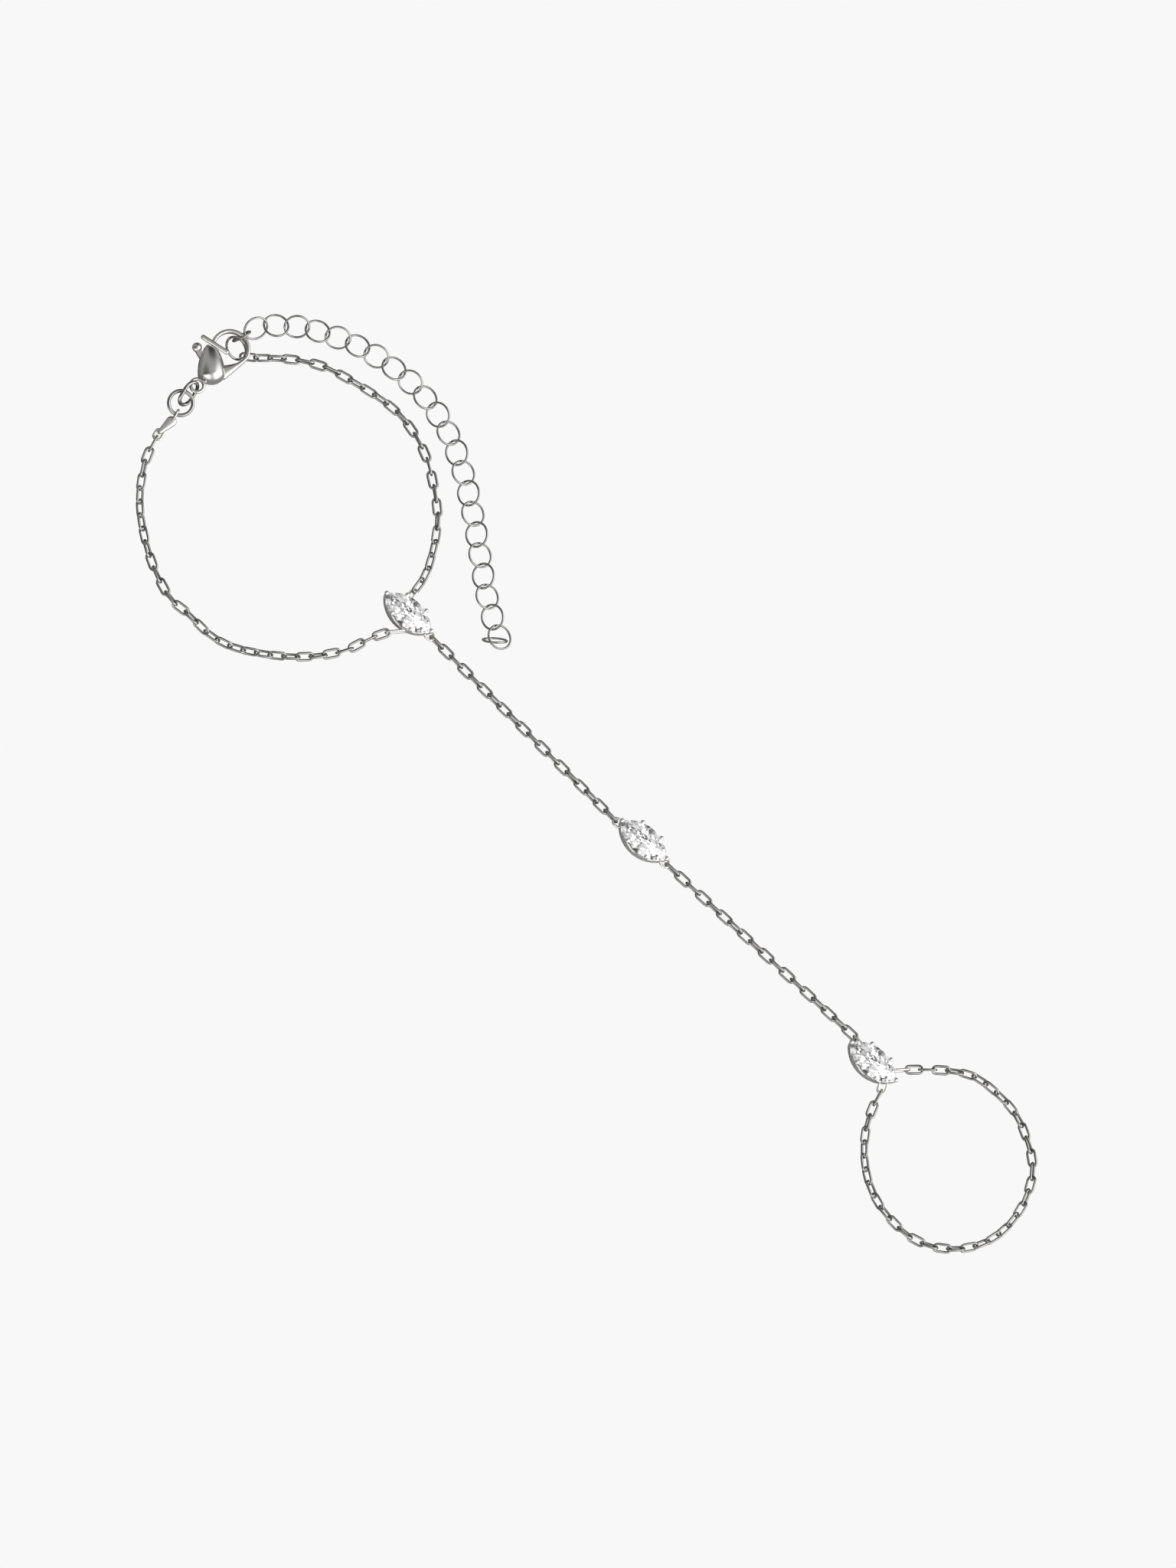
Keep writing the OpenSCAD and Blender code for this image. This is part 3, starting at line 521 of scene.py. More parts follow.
def cubic_zirconia(finishes):
    """Cut cubic zirconia: clear, with a high index. Seen through the crown, its pavilion is a
    mosaic of small mirrors that each show another part of the studio. The mirrors' colour carries
    painted shade: some cells are dark, and so is the bow tie of a marquise across its middle; most
    cells have a painted glow. The mosaic's cells lie in the stone's own millimetres."""
    made = bpy.data.materials.get("cubic_zirconia")
    if made:
        return made
    made, tree = new_material("cubic_zirconia")
    clear = [*finishes.stone, 1]
    place = add_node(tree, "ShaderNodeAttribute", attribute_name="from_middle")
    surface_normal = add_node(tree, "ShaderNodeNewGeometry").outputs["Normal"]

    def mirrors(width, ratio, tilt):
        """Leans of mirrors of a width in millimetres, which are longer along the stone and
        longest downwards, and a number from 0 to 1 for each mirror."""
        long = add_node(tree, "ShaderNodeMapping", {"Vector": place.outputs["Vector"],
            "Scale": [1 / width, 1 / (width * ratio), 0.3 / width]})
        cells = add_node(tree, "ShaderNodeTexVoronoi", {"Vector": long.outputs["Vector"],
            "Scale": 1})
        lean = add_node(tree, "ShaderNodeVectorMath", {0: cells.outputs["Color"],
            1: [0.5, 0.5, 0.5]}, operation="SUBTRACT")
        scaled = add_node(tree, "ShaderNodeVectorMath", {0: lean.outputs["Vector"],
            "Scale": tilt}, operation="SCALE")
        number = add_node(tree, "ShaderNodeSeparateXYZ", {0: cells.outputs["Color"]})
        return scaled.outputs["Vector"], number.outputs["Z"]

    large, large_cells = mirrors(*LARGE_MIRRORS)
    small, small_cells = mirrors(*SMALL_MIRRORS)
    both = add_node(tree, "ShaderNodeVectorMath", {0: large, 1: small}, operation="ADD")
    leaning = add_node(tree, "ShaderNodeVectorMath", {0: both.outputs["Vector"],
        1: surface_normal}, operation="ADD")
    normal = add_node(tree, "ShaderNodeVectorMath", {0: leaning.outputs["Vector"]},
        operation="NORMALIZE")
    # Painted light and shade by cell: most mirrors get a painted glow for light sent back from the
    # whole tent, and a few are painted dark for light lost through the back
    luck = add_node(tree, "ShaderNodeMath", {0: large_cells, 1: small_cells}, operation="ADD")
    painted_cell_glow = add_node(tree, "ShaderNodeMapRange", {"Value": luck.outputs[0], "From Min": 0.55,
        "From Max": 0.8, "To Min": 0, "To Max": PAINTED_GLOW})
    painted_dark_cells = add_node(tree, "ShaderNodeMapRange", {"Value": luck.outputs[0], "From Min": 0.45,
        "From Max": 0.7, "To Min": 0.06, "To Max": 1})
    # The bow tie, painted shade: dim where the distance along the stone is small against that
    # across it
    apart = add_node(tree, "ShaderNodeSeparateXYZ", {0: place.outputs["Vector"]})
    across = add_node(tree, "ShaderNodeMath", {0: apart.outputs["X"]}, operation="ABSOLUTE")
    along = add_node(tree, "ShaderNodeMath", {0: apart.outputs["Y"]}, operation="ABSOLUTE")
    wedge = add_node(tree, "ShaderNodeMath", {0: across.outputs[0], 1: -0.22,
        2: along.outputs[0]}, operation="MULTIPLY_ADD")
    tie = add_node(tree, "ShaderNodeMapRange", {"Value": wedge.outputs[0], "From Min": -0.18,
        "From Max": 0.04, "To Min": 0.35, "To Max": 1}, interpolation_type="SMOOTHSTEP")
    # Painted glow of the cells, weaker in the bow tie's painted shade
    painted_glow = add_node(tree, "ShaderNodeMath", {0: painted_cell_glow.outputs["Result"],
        1: tie.outputs["Result"]}, operation="MULTIPLY")
    kept = add_node(tree, "ShaderNodeMath", {0: painted_dark_cells.outputs["Result"],
        1: tie.outputs["Result"]}, operation="MULTIPLY")
    # The mirrors' colour: clear, darkened towards black by the painted dark cells and the bow tie's
    # painted shade
    tone = add_node(tree, "ShaderNodeMix", {"Factor": kept.outputs[0],
        6: [0, 0, 0, 1], 7: clear}, data_type="RGBA")
    glass = add_node(tree, "ShaderNodeBsdfPrincipled", {"Base Color": clear, "Roughness": 0,
        "IOR": 2.15, "Transmission Weight": 1})
    # The mirrors: metal whose colour holds the painted shade and which glows with the painted glow
    mosaic = add_node(tree, "ShaderNodeBsdfPrincipled", {"Base Color": tone.outputs[2],
        "Metallic": 1, "Roughness": 0.05, "Normal": normal.outputs["Vector"],
        "Emission Color": clear, "Emission Strength": painted_glow.outputs[0]})
    mixed = add_node(tree, "ShaderNodeMixShader", {0: MOSAIC_SHARE, 1: glass.outputs["BSDF"],
        2: mosaic.outputs["BSDF"]})
    add_node(tree, "ShaderNodeOutputMaterial", {"Surface": mixed.outputs["Shader"]})
    return made


def studio_paper(finishes):
    """Pale paper of the cut-out kind that product photographs stand on: to the eye it is evenly
    lit and takes no shadow, and what the metal reflects of it is the dimmer paper."""
    made, tree = new_material("studio_paper")
    path = add_node(tree, "ShaderNodeLightPath")
    seen = add_node(tree, "ShaderNodeEmission", {"Color": [*finishes.floor, 1],
        "Strength": 1})
    paper = add_node(tree, "ShaderNodeBsdfPrincipled", {"Base Color": [*linear(FLOOR_DIM), 1],
        "Roughness": 0.9, "Specular IOR Level": 0.1})
    mixed = add_node(tree, "ShaderNodeMixShader", {0: path.outputs["Is Camera Ray"],
        1: paper.outputs["BSDF"], 2: seen.outputs["Emission"]})
    add_node(tree, "ShaderNodeOutputMaterial", {"Surface": mixed.outputs["Shader"]})
    return made


# Stones and settings


def outline(s):
    """Radius of the two arcs of a stone's outline, which meet at the tips, and the distance of
    their centres from the stone's middle."""
    radius = (s.stone_l**2 + s.stone_w**2) / (4 * s.stone_w)
    return radius, radius - s.stone_w / 2


def leaf(s, offset, t):
    """Point of a stone's outline moved outwards by an offset. t runs clockwise from 0 at the +Y
    tip to 1."""
    radius, centre = outline(s)
    r = radius + offset
    a = np.arccos(np.clip(centre / r, -1, 1)) * (1 - 4 * (t % 0.5))
    side = np.where(t % 1 < 0.5, 1, -1)
    return side * (r * np.cos(a) - centre), side * r * np.sin(a)


def leaf_x(s, offset, y):
    """Half width of the outline at an offset, at a distance along the stone."""
    radius, centre = outline(s)
    return math.sqrt((radius + offset) ** 2 - y * y) - centre


def leaf_tip(s, offset):
    """Distance of the outline's tips from the middle, at an offset."""
    radius, centre = outline(s)
    return math.sqrt((radius + offset) ** 2 - centre**2)


def wall_offset(s, z):
    """The wall's outer outline grows evenly from its foot to its top edge."""
    return -s.foot_in + (s.foot_in + s.flare_out) * z / (s.girdle_z - RIM_BELOW)


def cut_stone(s):
    """Brilliant-cut marquise: rings of points on outlines that shrink upwards to the table and
    downwards to the culet, joined by flat triangles, with one flat table."""
    girdle, half = GIRDLE_FACETS, GIRDLE_FACETS // 2
    low, high = s.girdle_z - s.girdle_h / 2, s.girdle_z + s.girdle_h / 2
    even, odd = np.arange(half) * 2 / girdle, (np.arange(half) * 2 + 1) / girdle
    rings = [(0, np.arange(girdle) / girdle, low), (0, np.arange(girdle) / girdle, high),
        (-s.table_in / 2, odd, high + s.crown_h / 2), (-s.table_in, even, high + s.crown_h),
        (-s.stone_w / 4, odd, low - s.pavilion_h / 2)]
    points = [np.stack([*leaf(s, offset, t), np.full(len(t), z)], -1) for offset, t, z in rings]
    points = np.concatenate([*points, [[0, 0, low - s.pavilion_h]]])
    k, j = np.arange(half), np.arange(girdle)
    on, back, j2 = (k + 1) % half, (k - 1) % half, (j + 1) % girdle
    up, mid, top, deep = girdle, 2 * girdle, 2 * girdle + half, 2 * girdle + 2 * half
    g, g1, g2 = 2 * k, 2 * k + 1, (2 * k + 2) % girdle
    culet = np.full(half, deep + half)
    rows = [[top + k, mid + k, top + on], [top + k, up + g, mid + k],
        [top + k, mid + back, up + g], [mid + k, up + g, up + g1], [mid + k, up + g1, up + g2],
        [deep + k, g1, g], [deep + k, g2, g1], [culet, deep + k, g], [culet, g, deep + back]]
    facets = np.concatenate([np.stack(row, -1) for row in rows])
    band = np.concatenate([np.stack([up + j, j, j2], -1), np.stack([up + j, j2, up + j2], -1)])
    faces = np.concatenate([facets, band])[:, ::-1]
    return points, [faces, (top + k)[None]]


def wall(s, around=160):
    """A setting's cup: its section runs from the middle of the foot up the flared outside, over
    a rounded rim, down the inside and to the middle of the floor, on the stone's outline. The
    rim dips in round scallops between the claws."""
    t = np.linspace(0, 1, around, endpoint=False)
    y = leaf(s, s.flare_out, t)[1]
    top = s.girdle_z - RIM_BELOW
    side = (leaf_tip(s, -SEAT_PLAY) - s.claw_y) / 2
    rim = np.full(around, top)
    for at, reach in ((0, s.claw_y - s.claw_d / 2), (s.claw_y + side, side - s.claw_d / 2),
            (-s.claw_y - side, side - s.claw_d / 2)):
        r = (reach**2 + s.dip_h**2) / (2 * s.dip_h)
        depth = np.sqrt(np.maximum(r**2 - (y - at) ** 2, 0)) - (r - s.dip_h)
        rim = rim - np.maximum(depth, 0)
    edge = s.wall_t / 2
    rows = [(np.full(around, -s.stone_w / 2), np.zeros(around))]
    for share in np.linspace(0, 1, 7):
        z = (rim - edge) * share
        rows.append((wall_offset(s, z) + BULGE * np.sin(np.pi * share), z))
    for turn in np.linspace(0, np.pi, 6)[1:-1]:
        rows.append((wall_offset(s, rim - edge) - edge + edge * np.cos(turn),
            rim - edge + edge * np.sin(turn)))
    for share in np.linspace(0, 1, 4):
        z = (rim - edge) * (1 - share) + s.floor_t * share
        rows.append((wall_offset(s, z) - s.wall_t, z))
    rows.append((np.full(around, -s.stone_w / 2), np.full(around, s.floor_t)))
    grid = np.stack([np.stack([*leaf(s, offset, t), z], -1) for offset, z in rows])
    return surface(grid)


def claws(s):
    """Six claws: a round shaft from the wall's foot that ends in a ball over the stone's edge.
    All are as long as the six are on average."""

    def six(side, tip, z):
        """A point at either tip and two on either side."""
        sides = [[a * side, b * s.claw_y, z] for a in (-1, 1) for b in (-1, 1)]
        return np.array([[0, tip, z], [0, -tip, z], *sides])

    foot = wall_offset(s, CLAW_FOOT_Z) - s.claw_d / 2
    feet = six(leaf_x(s, foot, s.claw_y), leaf_tip(s, foot), CLAW_FOOT_Z)
    tops = six(leaf_x(s, -SEAT_PLAY, s.claw_y), leaf_tip(s, -SEAT_PLAY), s.girdle_z + CLAW_OVER)
    length = np.linalg.norm(tops - feet, axis=1).mean()
    ball = np.linspace(np.pi - math.asin(s.claw_d / s.bead_d), 0, 14)
    along = np.concatenate([[0, 0.5 * length], length + 0.5 * s.bead_d * np.cos(ball)])
    radius = np.concatenate([[s.claw_d / 2] * 2, 0.5 * s.bead_d * np.sin(ball)])
    bars = lathe(feet, tops, along, radius, 20)
    return surface(bars, close_ends=True)


def loop_table(s, c):
    """Foot and joint of each soldered loop, from the stone's middle before its turn."""
    z = c.link_w / 2 + c.lift
    inner = wall_offset(s, z) - s.wall_t / 2
    tip = [[0, leaf_tip(s, wall_offset(s, z)) - s.wall_t / 2, z],
        [0, leaf_tip(s, wall_offset(s, c.link_w)) + TIP_JOINT, z]]
    return {
        "tip": np.array(tip),
        "back_tip": np.array(tip) * [1, -1, 1],
        "left": np.array([[-leaf_x(s, inner, 1.4), -1.4, z], [-3.4, 0.4, z]]),
        "right": np.array([[leaf_x(s, inner, 1.1), 1.1, z], [3.3, 1.2, z]]),
        "hand": np.array([[leaf_x(s, inner, 2.2), 2.2, z], [1.4, 3.75, z]]),
        "finger_right": np.array([[leaf_x(s, inner, 2.5), -2.5, z], [2.7, -4.2, z]]),
        "finger_left": np.array([[-leaf_x(s, inner, 2.9), -2.9, z], [-1.95, -3.35, z]]),
    }


# Node, place and loops with their rolls, of each setting
SETTINGS = [
    ("wrist", WRIST, [("back_tip", 0), ("left", 90), ("right", -RIGHT_ROLL)]),
    ("middle", MIDDLE, [("tip", 0), ("back_tip", 0)]),
    ("finger", FINGER, [("hand", 90), ("finger_right", 90), ("finger_left", 0)]),
]


class BRACELET_OT_add_settings(bpy.types.Operator):
    """Adds the three claw settings with their soldered loops"""

    bl_idname = "bracelet.add_settings"
    bl_label = "Add claw settings"

    def execute(self, context):
        settings = context.scene.bracelet
        s, c = in_millimetres(settings.setting), in_millimetres(settings.chain)
        loops = loop_table(s, c)
        for name, place, wanted in SETTINGS:
            shapes = [wall(s), claws(s)]
            for loop, roll in wanted:
                shapes.append(soldered_loop(*loops[loop], c.link_w, roll, c))
            shapes = [(placed(points, place), faces) for points, faces in shapes]
            piece("claw_setting_" + name, shapes, metal("cast_plate", settings.finishes),
                "bracelet", ["setting_" + name])
        return {"FINISHED"}


class BRACELET_OT_add_stones(bpy.types.Operator):
    """Adds the three marquise-cut stones"""

    bl_idname = "bracelet.add_stones"
    bl_label = "Add marquise stones"

    def execute(self, context):
        settings = context.scene.bracelet
        s = in_millimetres(settings.setting)
        for name, place, _ in SETTINGS:
            points, faces = cut_stone(s)
            made = piece("marquise_" + name, [(placed(points, place), faces)],
                cubic_zirconia(settings.finishes), "bracelet", ["stone_" + name], sharp=0)
            own = made.data.attributes.new("from_middle", "FLOAT_VECTOR", "POINT")
            own.data.foreach_set("vector", points.ravel())
        return {"FINISHED"}


# Chains


def cap_line(c, k):
    """The end cap's joints and leaf ends, outwards from the end ring's middle."""
    reach = k.end_od / 2 - k.heavy_d - c.play
    z = c.link_w / 2 + c.lift
    joint = END_RING[0] + reach * CAP_GRIP
    joint[2] = END_RING[0][2] + reach * math.sin(math.radians(END_RING[1][1]))
    start = joint + (k.heavy_d + c.play) * CAP_AWAY * CAP_GRIP
    end = start + k.cap_l * CAP_DIRECTION
    chain = end + (c.link_d + 2 * c.play) * CAP_TAIL
    start[2] = end[2] = chain[2] = z
    return joint, start, end, chain


def wire_piece(name, node, grids, finishes):
    """A piece of plated wire that stands for one node, from grids of rings and links."""
    piece(name, [surface(grid, wrap_rows=True) for grid in grids], metal("rhodium_plate", finishes),
        "bracelet", [node], sharp=70)


def cable(points, roll, sway, upright, c):
    """Links whose planes cross: each rolls a quarter turn on from the last, and they sway from
    that in two waves that leave both ends as they are. Between its ends the chain turns by
    upright on top of that."""
    i = np.arange(len(points) - 1)
    inside = np.minimum(1, np.minimum(i, i[-1] - i) / UPRIGHT_LINKS)
    rolls = roll + 90 * i + sway * np.sin(np.radians(720 * i / i[-1])) + upright * inside
    return links(points[:-1], points[1:], c.link_w, c.link_d, c.play, rolls)


class BRACELET_OT_add_chains(bpy.types.Operator):
    """Adds the cable chains of wrist, hand and finger"""

    bl_idname = "bracelet.add_chains"
    bl_label = "Add cable chains"

    def execute(self, context):
        settings = context.scene.bracelet
        c, s = in_millimetres(settings.chain), in_millimetres(settings.setting)
        k = in_millimetres(settings.clasp)
        loops = loop_table(s, c)
        pitch, z = c.link_l - 2 * c.link_d - c.play, c.link_w / 2 + c.lift

        def end(place, loop):
            """Joint of a loop of the setting at a place."""
            return placed(loops[loop][1], place)

        # Node: route, 1 for an odd number of links, first roll, sway and turn between the ends
        runs = {
            "wrist_chain_left": (whole_route(cap_line(c, k)[3], ROUTE_LEFT, WRIST, z,
                end(WRIST, "left")), 0, 90, LOOP_SWAY, LOOP_UPRIGHT),
            "wrist_chain_right": (whole_route(in_clasp(CABLE_START, 0), ROUTE_RIGHT, WRIST, z,
                end(WRIST, "right")), 0, RIGHT_ROLL, RIGHT_SWAY, RIGHT_UPRIGHT),
            "hand_chain_upper": ([end(WRIST, "back_tip"), end(MIDDLE, "tip")],
                1, 90, HAND_SWAY, 0),
            "hand_chain_lower": ([end(MIDDLE, "back_tip"), end(FINGER, "hand")],
                0, 90, HAND_SWAY, 0),
            "finger_chain": (whole_route(end(FINGER, "finger_right"), ROUTE_FINGER, FINGER, z,
                end(FINGER, "finger_left")), 0, 0, LOOP_SWAY, LOOP_UPRIGHT),
        }
        for name, (route, odd, roll, sway, upright) in runs.items():
            rings = cable(joints(route, pitch, odd), roll, sway, upright, c)
            wire_piece(name + "_links", name, [rings], settings.finishes)
        return {"FINISHED"}


class BRACELET_OT_add_extender(bpy.types.Operator):
    """Adds the extender of round rings, which lean to one side and the other in turn"""

    bl_idname = "bracelet.add_extender"
    bl_label = "Add extender"

    def execute(self, context):
        settings = context.scene.bracelet
        c = in_millimetres(settings.chain)
        lean = math.radians(EXTENDER_LEAN) + c.ring_lean
        z = (c.ring_od - c.ring_d) / 2 * math.sin(lean) + c.ring_d / 2 + c.lift
        route = whole_route(in_clasp(EXTENDER_START, 0), ROUTE_EXTENDER, WRIST, z)
        points = joints(route, c.ring_od - 2 * c.ring_d - c.play)
        sides = (-1.0) ** np.arange(len(points) - 1)
        lean = EXTENDER_LEAN + math.degrees(c.ring_lean) * sides
        rings = links(points[:-1], points[1:], c.ring_od, c.ring_d, c.play, lean, 32, 8)
        last = posed(oval(c.ring_od, c.ring_od, c.ring_d, 32, 8)[0], *LAST_RING)
        wire_piece("extender_rings", "extender_chain", [rings, last], settings.finishes)
        return {"FINISHED"}


class BRACELET_OT_add_rings(bpy.types.Operator):
    """Adds the single rings and links at the clasp"""

    bl_idname = "bracelet.add_rings"
    bl_label = "Add clasp rings"

    def execute(self, context):
        settings = context.scene.bracelet
        k = in_millimetres(settings.clasp)
        for node, at, turn, sizes, in_hook in (
                ("hook_link", *HOOK_LINK, HOOK_LINK_SIZE, True),
                ("connector_ring", *CONNECTOR_RING, CONNECTOR_SIZE, True),
                ("eye_link", *EYE_LINK, (*EYE_LINK_SIZE, k.heavy_d), False),
                ("end_ring", *END_RING, (k.end_od, k.end_od, k.heavy_d), False)):
            ring = posed(oval(*sizes, 56, 14)[0], at, turn)
            if in_hook:
                ring = in_clasp(ring, 0)
            wire_piece(node + "_wire", node, [ring], settings.finishes)
        return {"FINISHED"}


# Clasp and end cap


def squared_circle(turn, power):
    """A circle pushed towards a square: both coordinates are raised to 2 / power."""
    c, s = np.cos(turn), np.sin(turn)
    return np.sign(c) * np.abs(c) ** (2 / power), np.sign(s) * np.abs(s) ** (2 / power)


class BRACELET_OT_add_end_cap(bpy.types.Operator):
    """Adds the leaf-shaped end cap between the end ring and the left wrist chain"""

    bl_idname = "bracelet.add_end_cap"
    bl_label = "Add end cap"

    def execute(self, context):
        settings = context.scene.bracelet
        c, k = in_millimetres(settings.chain), in_millimetres(settings.clasp)
        joint, start, end, chain = cap_line(c, k)
        # A pillow on a leaf: the half width follows a wide circle at the ring's end, a small one
        # at the chain's end and the straight lines that touch both, and the section across is a
        # circle pushed towards a square. The height falls less than the width does at the ends
        half, small = k.cap_w / 2, k.cap_tip_w / 2
        u = -np.cos(np.linspace(0, np.pi, 45))[1:-1, None] * k.cap_l / 2
        wide_at, small_at = half - k.cap_l / 2, k.cap_l / 2 - small
        slope = (half - small) / (small_at - wide_at)
        touch = [wide_at + half * slope, small_at + small * slope]
        rise = math.sqrt(1 - slope**2)
        width = np.interp(u, touch, [half * rise, small * rise])
        width = np.where(u < touch[0], np.sqrt(np.maximum(half**2 - (u - wide_at) ** 2, 0)), width)
        width = np.where(u > touch[1], np.sqrt(np.maximum(small**2 - (u - small_at) ** 2, 0)),
            width)
        y, z = squared_circle(np.linspace(0, 2 * np.pi, 36, endpoint=False), CAP_SQUARE)
        body = np.stack(np.broadcast_arrays(u, width * y,
            k.cap_t / 2 * (width / half) ** 0.4 * z), -1)
        body = body @ axes(end - start) + (start + end) / 2
        shapes = [surface(body, close_ends=True)]
        foot, ring_loop_w = CAP_FOOT * CAP_DIRECTION, k.heavy_d + 2 * c.link_d + 2 * c.play
        shapes.append(soldered_loop(joint, start + foot, ring_loop_w, 90, c))
        shapes.append(soldered_loop(end - foot, chain, c.link_w, 0, c))
        piece("end_cap_leaf", shapes, metal("satin_silver", settings.finishes), "bracelet",
            ["end_cap"])
        return {"FINISHED"}


def lobe_radius(k, y):
    """Radius of the lobe: the smaller of a barrel's side arc and its round foot."""
    rise, slim = k.lobe_l - LOBE_WIDE_Y, k.lobe_r - k.lobe_top_r
    side_r = (rise**2 + slim**2) / (2 * slim)
    side = k.lobe_r - side_r + np.sqrt(side_r**2 - (y - LOBE_WIDE_Y) ** 2)
    below = np.minimum(y - LOBE_FOOT_R - LOBE_FOOT_Y, 0)
    return np.minimum(side, np.sqrt(np.maximum(LOBE_FOOT_R**2 - below**2, 0)))


def lobe(k, arc=72, notch=20):
    """The lobe: flattened circles of the barrel's radius along its leaning axis. Above the slot's
    floor, the part of each circle inside the slot is folded in along the slot's walls, so that
    two cheeks stand, and the rows are drawn up or down to end along the beak's rod."""
    low, top = PIVOT_AT[1] - SLOT_BELOW, k.lobe_l
    # Rows: the foot's, closest at its pole, plain ones up to the slot's floor, and the cheeks',
    # which are closest at their rounded top
    foot_angle = np.linspace(0.05, 1, 16) * np.arccos(1 - LOBE_FOOT_H / LOBE_FOOT_R)
    foot = LOBE_FOOT_Y + LOBE_FOOT_R * (1 - np.cos(foot_angle))
    round_off = np.linspace(0, np.pi / 2, 6)[1:]
    upper = np.concatenate([np.linspace(low + 0.03, top - CHEEK_ROUND, 16),
        top - CHEEK_ROUND + CHEEK_ROUND * np.sin(round_off)])
    y = np.concatenate([foot, np.linspace(foot[-1], low, 10)[1:], upper])
    radius = lobe_radius(k, y)
    open_angle = np.arcsin(np.minimum(k.slot_w / 2 / radius, 0.9))[:, None]
    turn = np.linspace(-1, 1, arc) * (np.pi - open_angle)
    outer = radius[:, None, None] * np.stack([np.cos(turn), np.sin(turn)], -1)
    # The rest of each circle, from the slot's upper edge to its lower one. Folded, its points run
    # in along one wall of the slot, over to the other and out again
    rest = np.linspace(1, -1, notch + 2)[1:-1]
    turn = np.pi - rest * open_angle
    full = radius[:, None, None] * np.stack([np.cos(turn), np.sin(turn)], -1)
    inward = np.minimum((1 - np.abs(rest)) * 2.5, 1)
    edge = -(radius[:, None] * np.cos(open_angle))
    folded = np.stack(np.broadcast_arrays(edge + (SLOT_WALL_X - edge) * inward,
        np.clip(rest * 5, -1, 1) * k.slot_w / 2), -1)
    slotted = (np.arange(len(y)) >= len(y) - len(upper))[:, None, None]
    section = np.concatenate([outer, np.where(slotted, folded, full)], 1)
    # The cut along the beak's rod, in the leaning axes
    beak = np.subtract(BEAK_TO, BEAK_FROM)
    across = unit(np.array([-beak[1], beak[0]])) @ about_z(LOBE_LEAN)[:2, :2].T
    level = across @ (np.array(BEAK_FROM) @ about_z(LOBE_LEAN)[:2, :2].T)
    cut = np.minimum((level - k.beak_d / 2 - BEAK_GAP - across[0] * section[..., 0]) / across[1],
        top)
    share = np.clip((y - low) / (top - low), 0, 1)[:, None]
    drawn = y[:, None] + share * (cut - top)
    scale = lobe_radius(k, drawn) / radius[:, None]
    scale[-len(round_off):] -= CHEEK_NARROW * (1 - np.cos(round_off[:, None]))
    scale[:, arc:] = np.where(slotted[..., 0], 1, scale[:, arc:])
    grid = np.stack([section[..., 0] * scale, drawn,
        section[..., 1] * scale * k.lobe_h / k.lobe_r], -1) @ about_z(LOBE_LEAN)
    points, faces = surface(grid)
    rows, columns = grid.shape[:2]
    number = np.arange(rows * columns).reshape(rows, columns)
    # The foot's pole and the cut top of the two cheeks
    turned_in = np.array_equal(faces[0][0], [0, 1, columns + 1, columns])
    foot_face, top_face = number[0][None], number[-1][None]
    faces += [foot_face[:, ::-1], top_face] if turned_in else [foot_face, top_face[:, ::-1]]
    return points, faces


def hook(k):
    """Web and hook in one sweep: stations between an inner and an outer edge line, which widen
    from the hook's bar to the web inside the lobe. The section is a circle pushed towards a
    square, more so in the web."""
    a = np.radians(np.linspace(HOOK_START, HOOK_END, 64))[:, None]
    ray = np.concatenate([np.cos(a), np.sin(a)], 1)
    inner = np.concatenate([WEB_INNER, HOOK_AT + ray * (k.hook_r - k.hook_t / 2)])
    outer = np.concatenate([WEB_OUTER, HOOK_AT + ray * (k.hook_r + k.hook_t / 2)])
    steps = np.arange(len(inner))
    # Half height and squareness of the section, by station: the web's six, then the bar's
    high = np.interp(steps, [0, 5, 8], [1, 0.96, k.hook_h]) / 2
    power = np.interp(steps, [0, 5], [2.8, 2.7])
    turn = np.linspace(0, 2 * np.pi, 24, endpoint=False)
    y, z = squared_circle(turn[None], power[:, None])
    middle, half = (inner + outer) / 2, (outer - inner) / 2
    flat = middle[:, None] + half[:, None] * y[..., None]
    body = np.concatenate([flat, np.broadcast_to((high[:, None] * z)[..., None],
        (*flat.shape[:2], 1))], -1)
    # The bar's end is rounded off in three sections: how much of the last one, and how far on
    tip = body[-1].mean(0)
    ahead = np.array([*unit(middle[-1] - middle[-2]), 0])
    cap = np.array([[[0.9], [0.1]], [[0.7], [0.18]], [[0.4], [0.24]]])
    ends = tip + (body[-1] - tip) * cap[:, :1] + ahead * cap[:, 1:]
    return surface(np.concatenate([body, ends]), close_ends=True)


class BRACELET_OT_add_clasp(bpy.types.Operator):
    """Adds the lobster clasp's body and gives its lever the same finish"""

    bl_idname = "bracelet.add_clasp"
    bl_label = "Add lobster clasp"

    def execute(self, context):
        settings = context.scene.bracelet
        k, c = in_millimetres(settings.clasp), in_millimetres(settings.chain)
        end = HOOK_AT + k.hook_r * np.array([math.cos(math.radians(HOOK_END)),
            math.sin(math.radians(HOOK_END))])
        beak_z = k.hook_h / 2 + k.beak_d / 2 - BEAK_SINK
        beak = round_bar([*BEAK_FROM, beak_z], [*BEAK_TO, beak_z], k.beak_d)
        # The post stands on the hook's end and carries the beak. It narrows at both ends
        post = lathe([*end, -0.1], [*end, beak_z], [0, 0.1, beak_z, beak_z + 0.1],
            [0.24, 0.27, 0.27, 0.2], 20)
        pin = round_bar([*PIVOT_AT[:2], -PIN_HALF], [*PIVOT_AT[:2], PIN_HALF], PIN_D)
        eye = oval(k.eye_od, k.eye_od, k.eye_d, 48, 14)[0] + EYE_AT
        bars = [surface(bar, close_ends=True) for bar in (post, beak, pin)]
        shapes = [lobe(k), hook(k), *bars, surface(eye, wrap_rows=True)]
        shapes = [(in_clasp(points, k.lobe_h + c.lift), faces) for points, faces in shapes]
        silver = metal("polished_silver", settings.finishes)
        piece("lobster_clasp", shapes, silver, "bracelet", ["clasp_body"])
        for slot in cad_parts["clasp_lever"].material_slots:
            slot.material = silver
        return {"FINISHED"}


# Stage


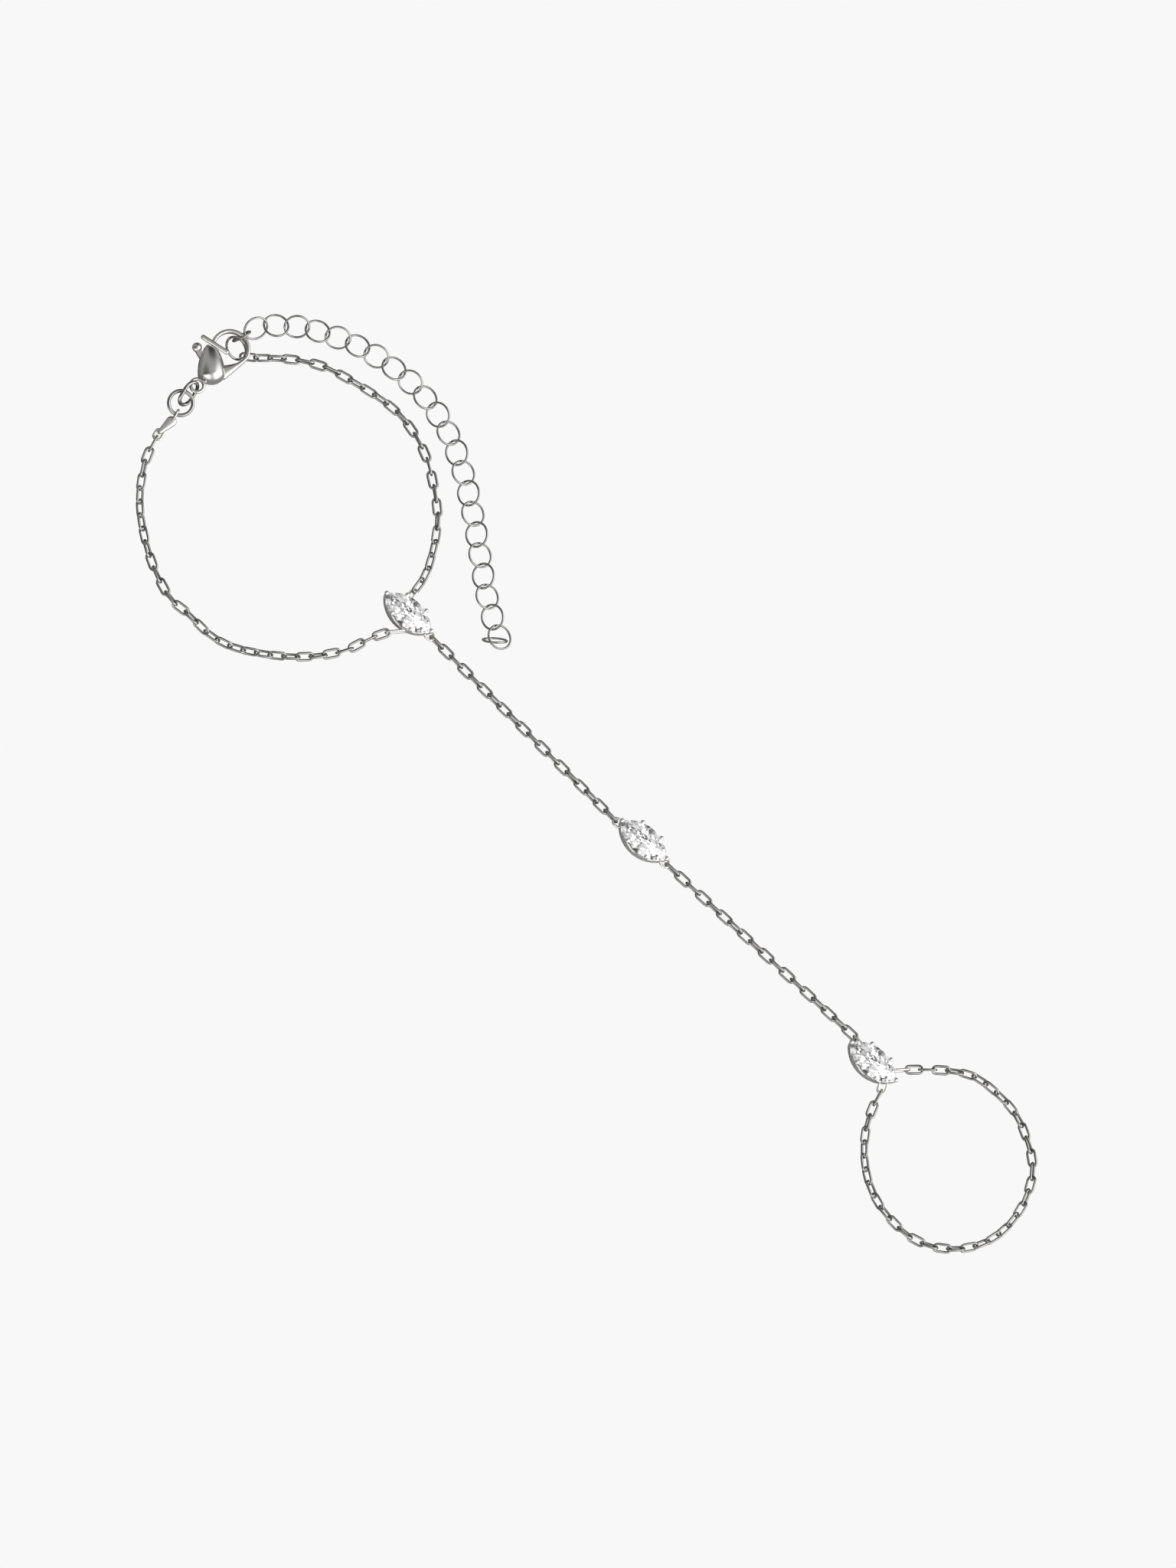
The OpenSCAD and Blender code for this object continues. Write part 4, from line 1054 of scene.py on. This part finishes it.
def soft_lamp(tree, direction, centre, inner, outer):
    """A round patch on the studio's sky: 1 within the inner angle of its centre, 0 beyond the
    outer one and smooth between them."""
    dot = add_node(tree, "ShaderNodeVectorMath", {0: direction,
        1: unit(np.array(centre, float))}, operation="DOT_PRODUCT")
    return add_node(tree, "ShaderNodeMapRange", {"Value": dot.outputs["Value"],
        "From Min": math.cos(math.radians(outer)), "From Max": math.cos(math.radians(inner)),
        "To Min": 0, "To Max": 1}, interpolation_type="SMOOTHSTEP").outputs["Result"]


class BRACELET_OT_add_stage(bpy.types.Operator):
    """Adds the paper floor, the light tent and the camera at the photograph's angle"""

    bl_idname = "bracelet.add_stage"
    bl_label = "Add studio"

    def execute(self, context):
        scene = context.scene
        # The paper is a flat sheet just under the part
        side = np.linspace(-FLOOR_HALF, FLOOR_HALF, FLOOR_SQUARES + 1)
        u, v = np.meshgrid(side, side)
        corners = np.stack([u.ravel(), v.ravel(), np.full(u.size, -FLOOR_BELOW * MM)], -1)
        n = np.arange(u.size).reshape(u.shape)
        squares = np.stack([n[:-1, :-1], n[:-1, 1:], n[1:, 1:], n[1:, :-1]], -1).reshape(-1, 4)
        mesh = bpy.data.meshes.new("studio_floor")
        mesh.from_pydata(corners.tolist(), [], squares.tolist())
        mesh.materials.append(studio_paper(scene.bracelet.finishes))
        floor = bpy.data.objects.new("studio_floor", mesh)
        scene.collection.objects.link(floor)

        world = bpy.data.worlds.new("light_tent")
        world.use_nodes = True
        tree = world.node_tree
        tree.nodes.clear()
        direction = add_node(tree, "ShaderNodeTexCoord").outputs["Generated"]
        light = TENT_LIGHT
        for centre, inner, outer, value in TENT:
            mask = soft_lamp(tree, direction, centre, inner, outer)
            light = add_node(tree, "ShaderNodeMix", {"Factor": mask, 2: light, 3: value},
                data_type="FLOAT").outputs[0]
        sky = add_node(tree, "ShaderNodeBackground", {"Color": [1, 1, 1, 1], "Strength": light})
        add_node(tree, "ShaderNodeOutputWorld", {"Surface": sky.outputs["Background"]})
        scene.world = world

        camera = bpy.data.objects.new("camera", bpy.data.cameras.new("camera"))
        scene.collection.objects.link(camera)
        camera.data.sensor_width = SENSOR
        camera.data.lens = VIEW_DISTANCE * SENSOR / VIEW_HEIGHT
        camera.data.clip_start, camera.data.clip_end = 0.1, 20
        stand = Matrix.Translation(VIEW_AT + VIEW_BACK * VIEW_DISTANCE)
        turn = Matrix((VIEW_RIGHT, VIEW_UP, VIEW_BACK)).transposed().to_quaternion()
        camera.matrix_world = stand @ turn.to_matrix().to_4x4()
        scene.camera = camera
        scene.view_settings.view_transform = "Standard"
        return {"FINISHED"}


class BraceletSettings(bpy.types.PropertyGroup):
    """All sizes and colours of the bracelet."""

    chain: bpy.props.PointerProperty(type=ChainSizes)
    setting: bpy.props.PointerProperty(type=SettingSizes)
    clasp: bpy.props.PointerProperty(type=ClaspSizes)
    finishes: bpy.props.PointerProperty(type=Finishes)


OPERATORS = (BRACELET_OT_add_chains, BRACELET_OT_add_extender, BRACELET_OT_add_rings,
    BRACELET_OT_add_end_cap, BRACELET_OT_add_clasp, BRACELET_OT_add_settings,
    BRACELET_OT_add_stones, BRACELET_OT_add_stage)


class BRACELET_PT_panel(bpy.types.Panel):
    """Lists the bracelet's pieces, sizes and colours"""

    bl_label = "Hand chain bracelet"
    bl_space_type = "VIEW_3D"
    bl_region_type = "UI"
    bl_category = "Bracelet"

    def draw(self, context):
        settings = context.scene.bracelet
        for operator in OPERATORS:
            self.layout.operator(operator.bl_idname)
        for group in (settings.chain, settings.setting, settings.clasp, settings.finishes):
            box = self.layout.box()
            for key in type(group).__annotations__:
                box.prop(group, key)


CLASSES = (ChainSizes, SettingSizes, ClaspSizes, Finishes, BraceletSettings, *OPERATORS,
    BRACELET_PT_panel)


def register():
    for made in CLASSES:
        bpy.utils.register_class(made)
    bpy.types.Scene.bracelet = bpy.props.PointerProperty(type=BraceletSettings)


def unregister():
    del bpy.types.Scene.bracelet
    for made in reversed(CLASSES):
        bpy.utils.unregister_class(made)


def main():
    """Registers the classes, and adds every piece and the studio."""
    register()
    for operator in OPERATORS:
        group, name = operator.bl_idname.split(".")
        getattr(getattr(bpy.ops, group), name)()


if __name__ == "__main__":
    main()
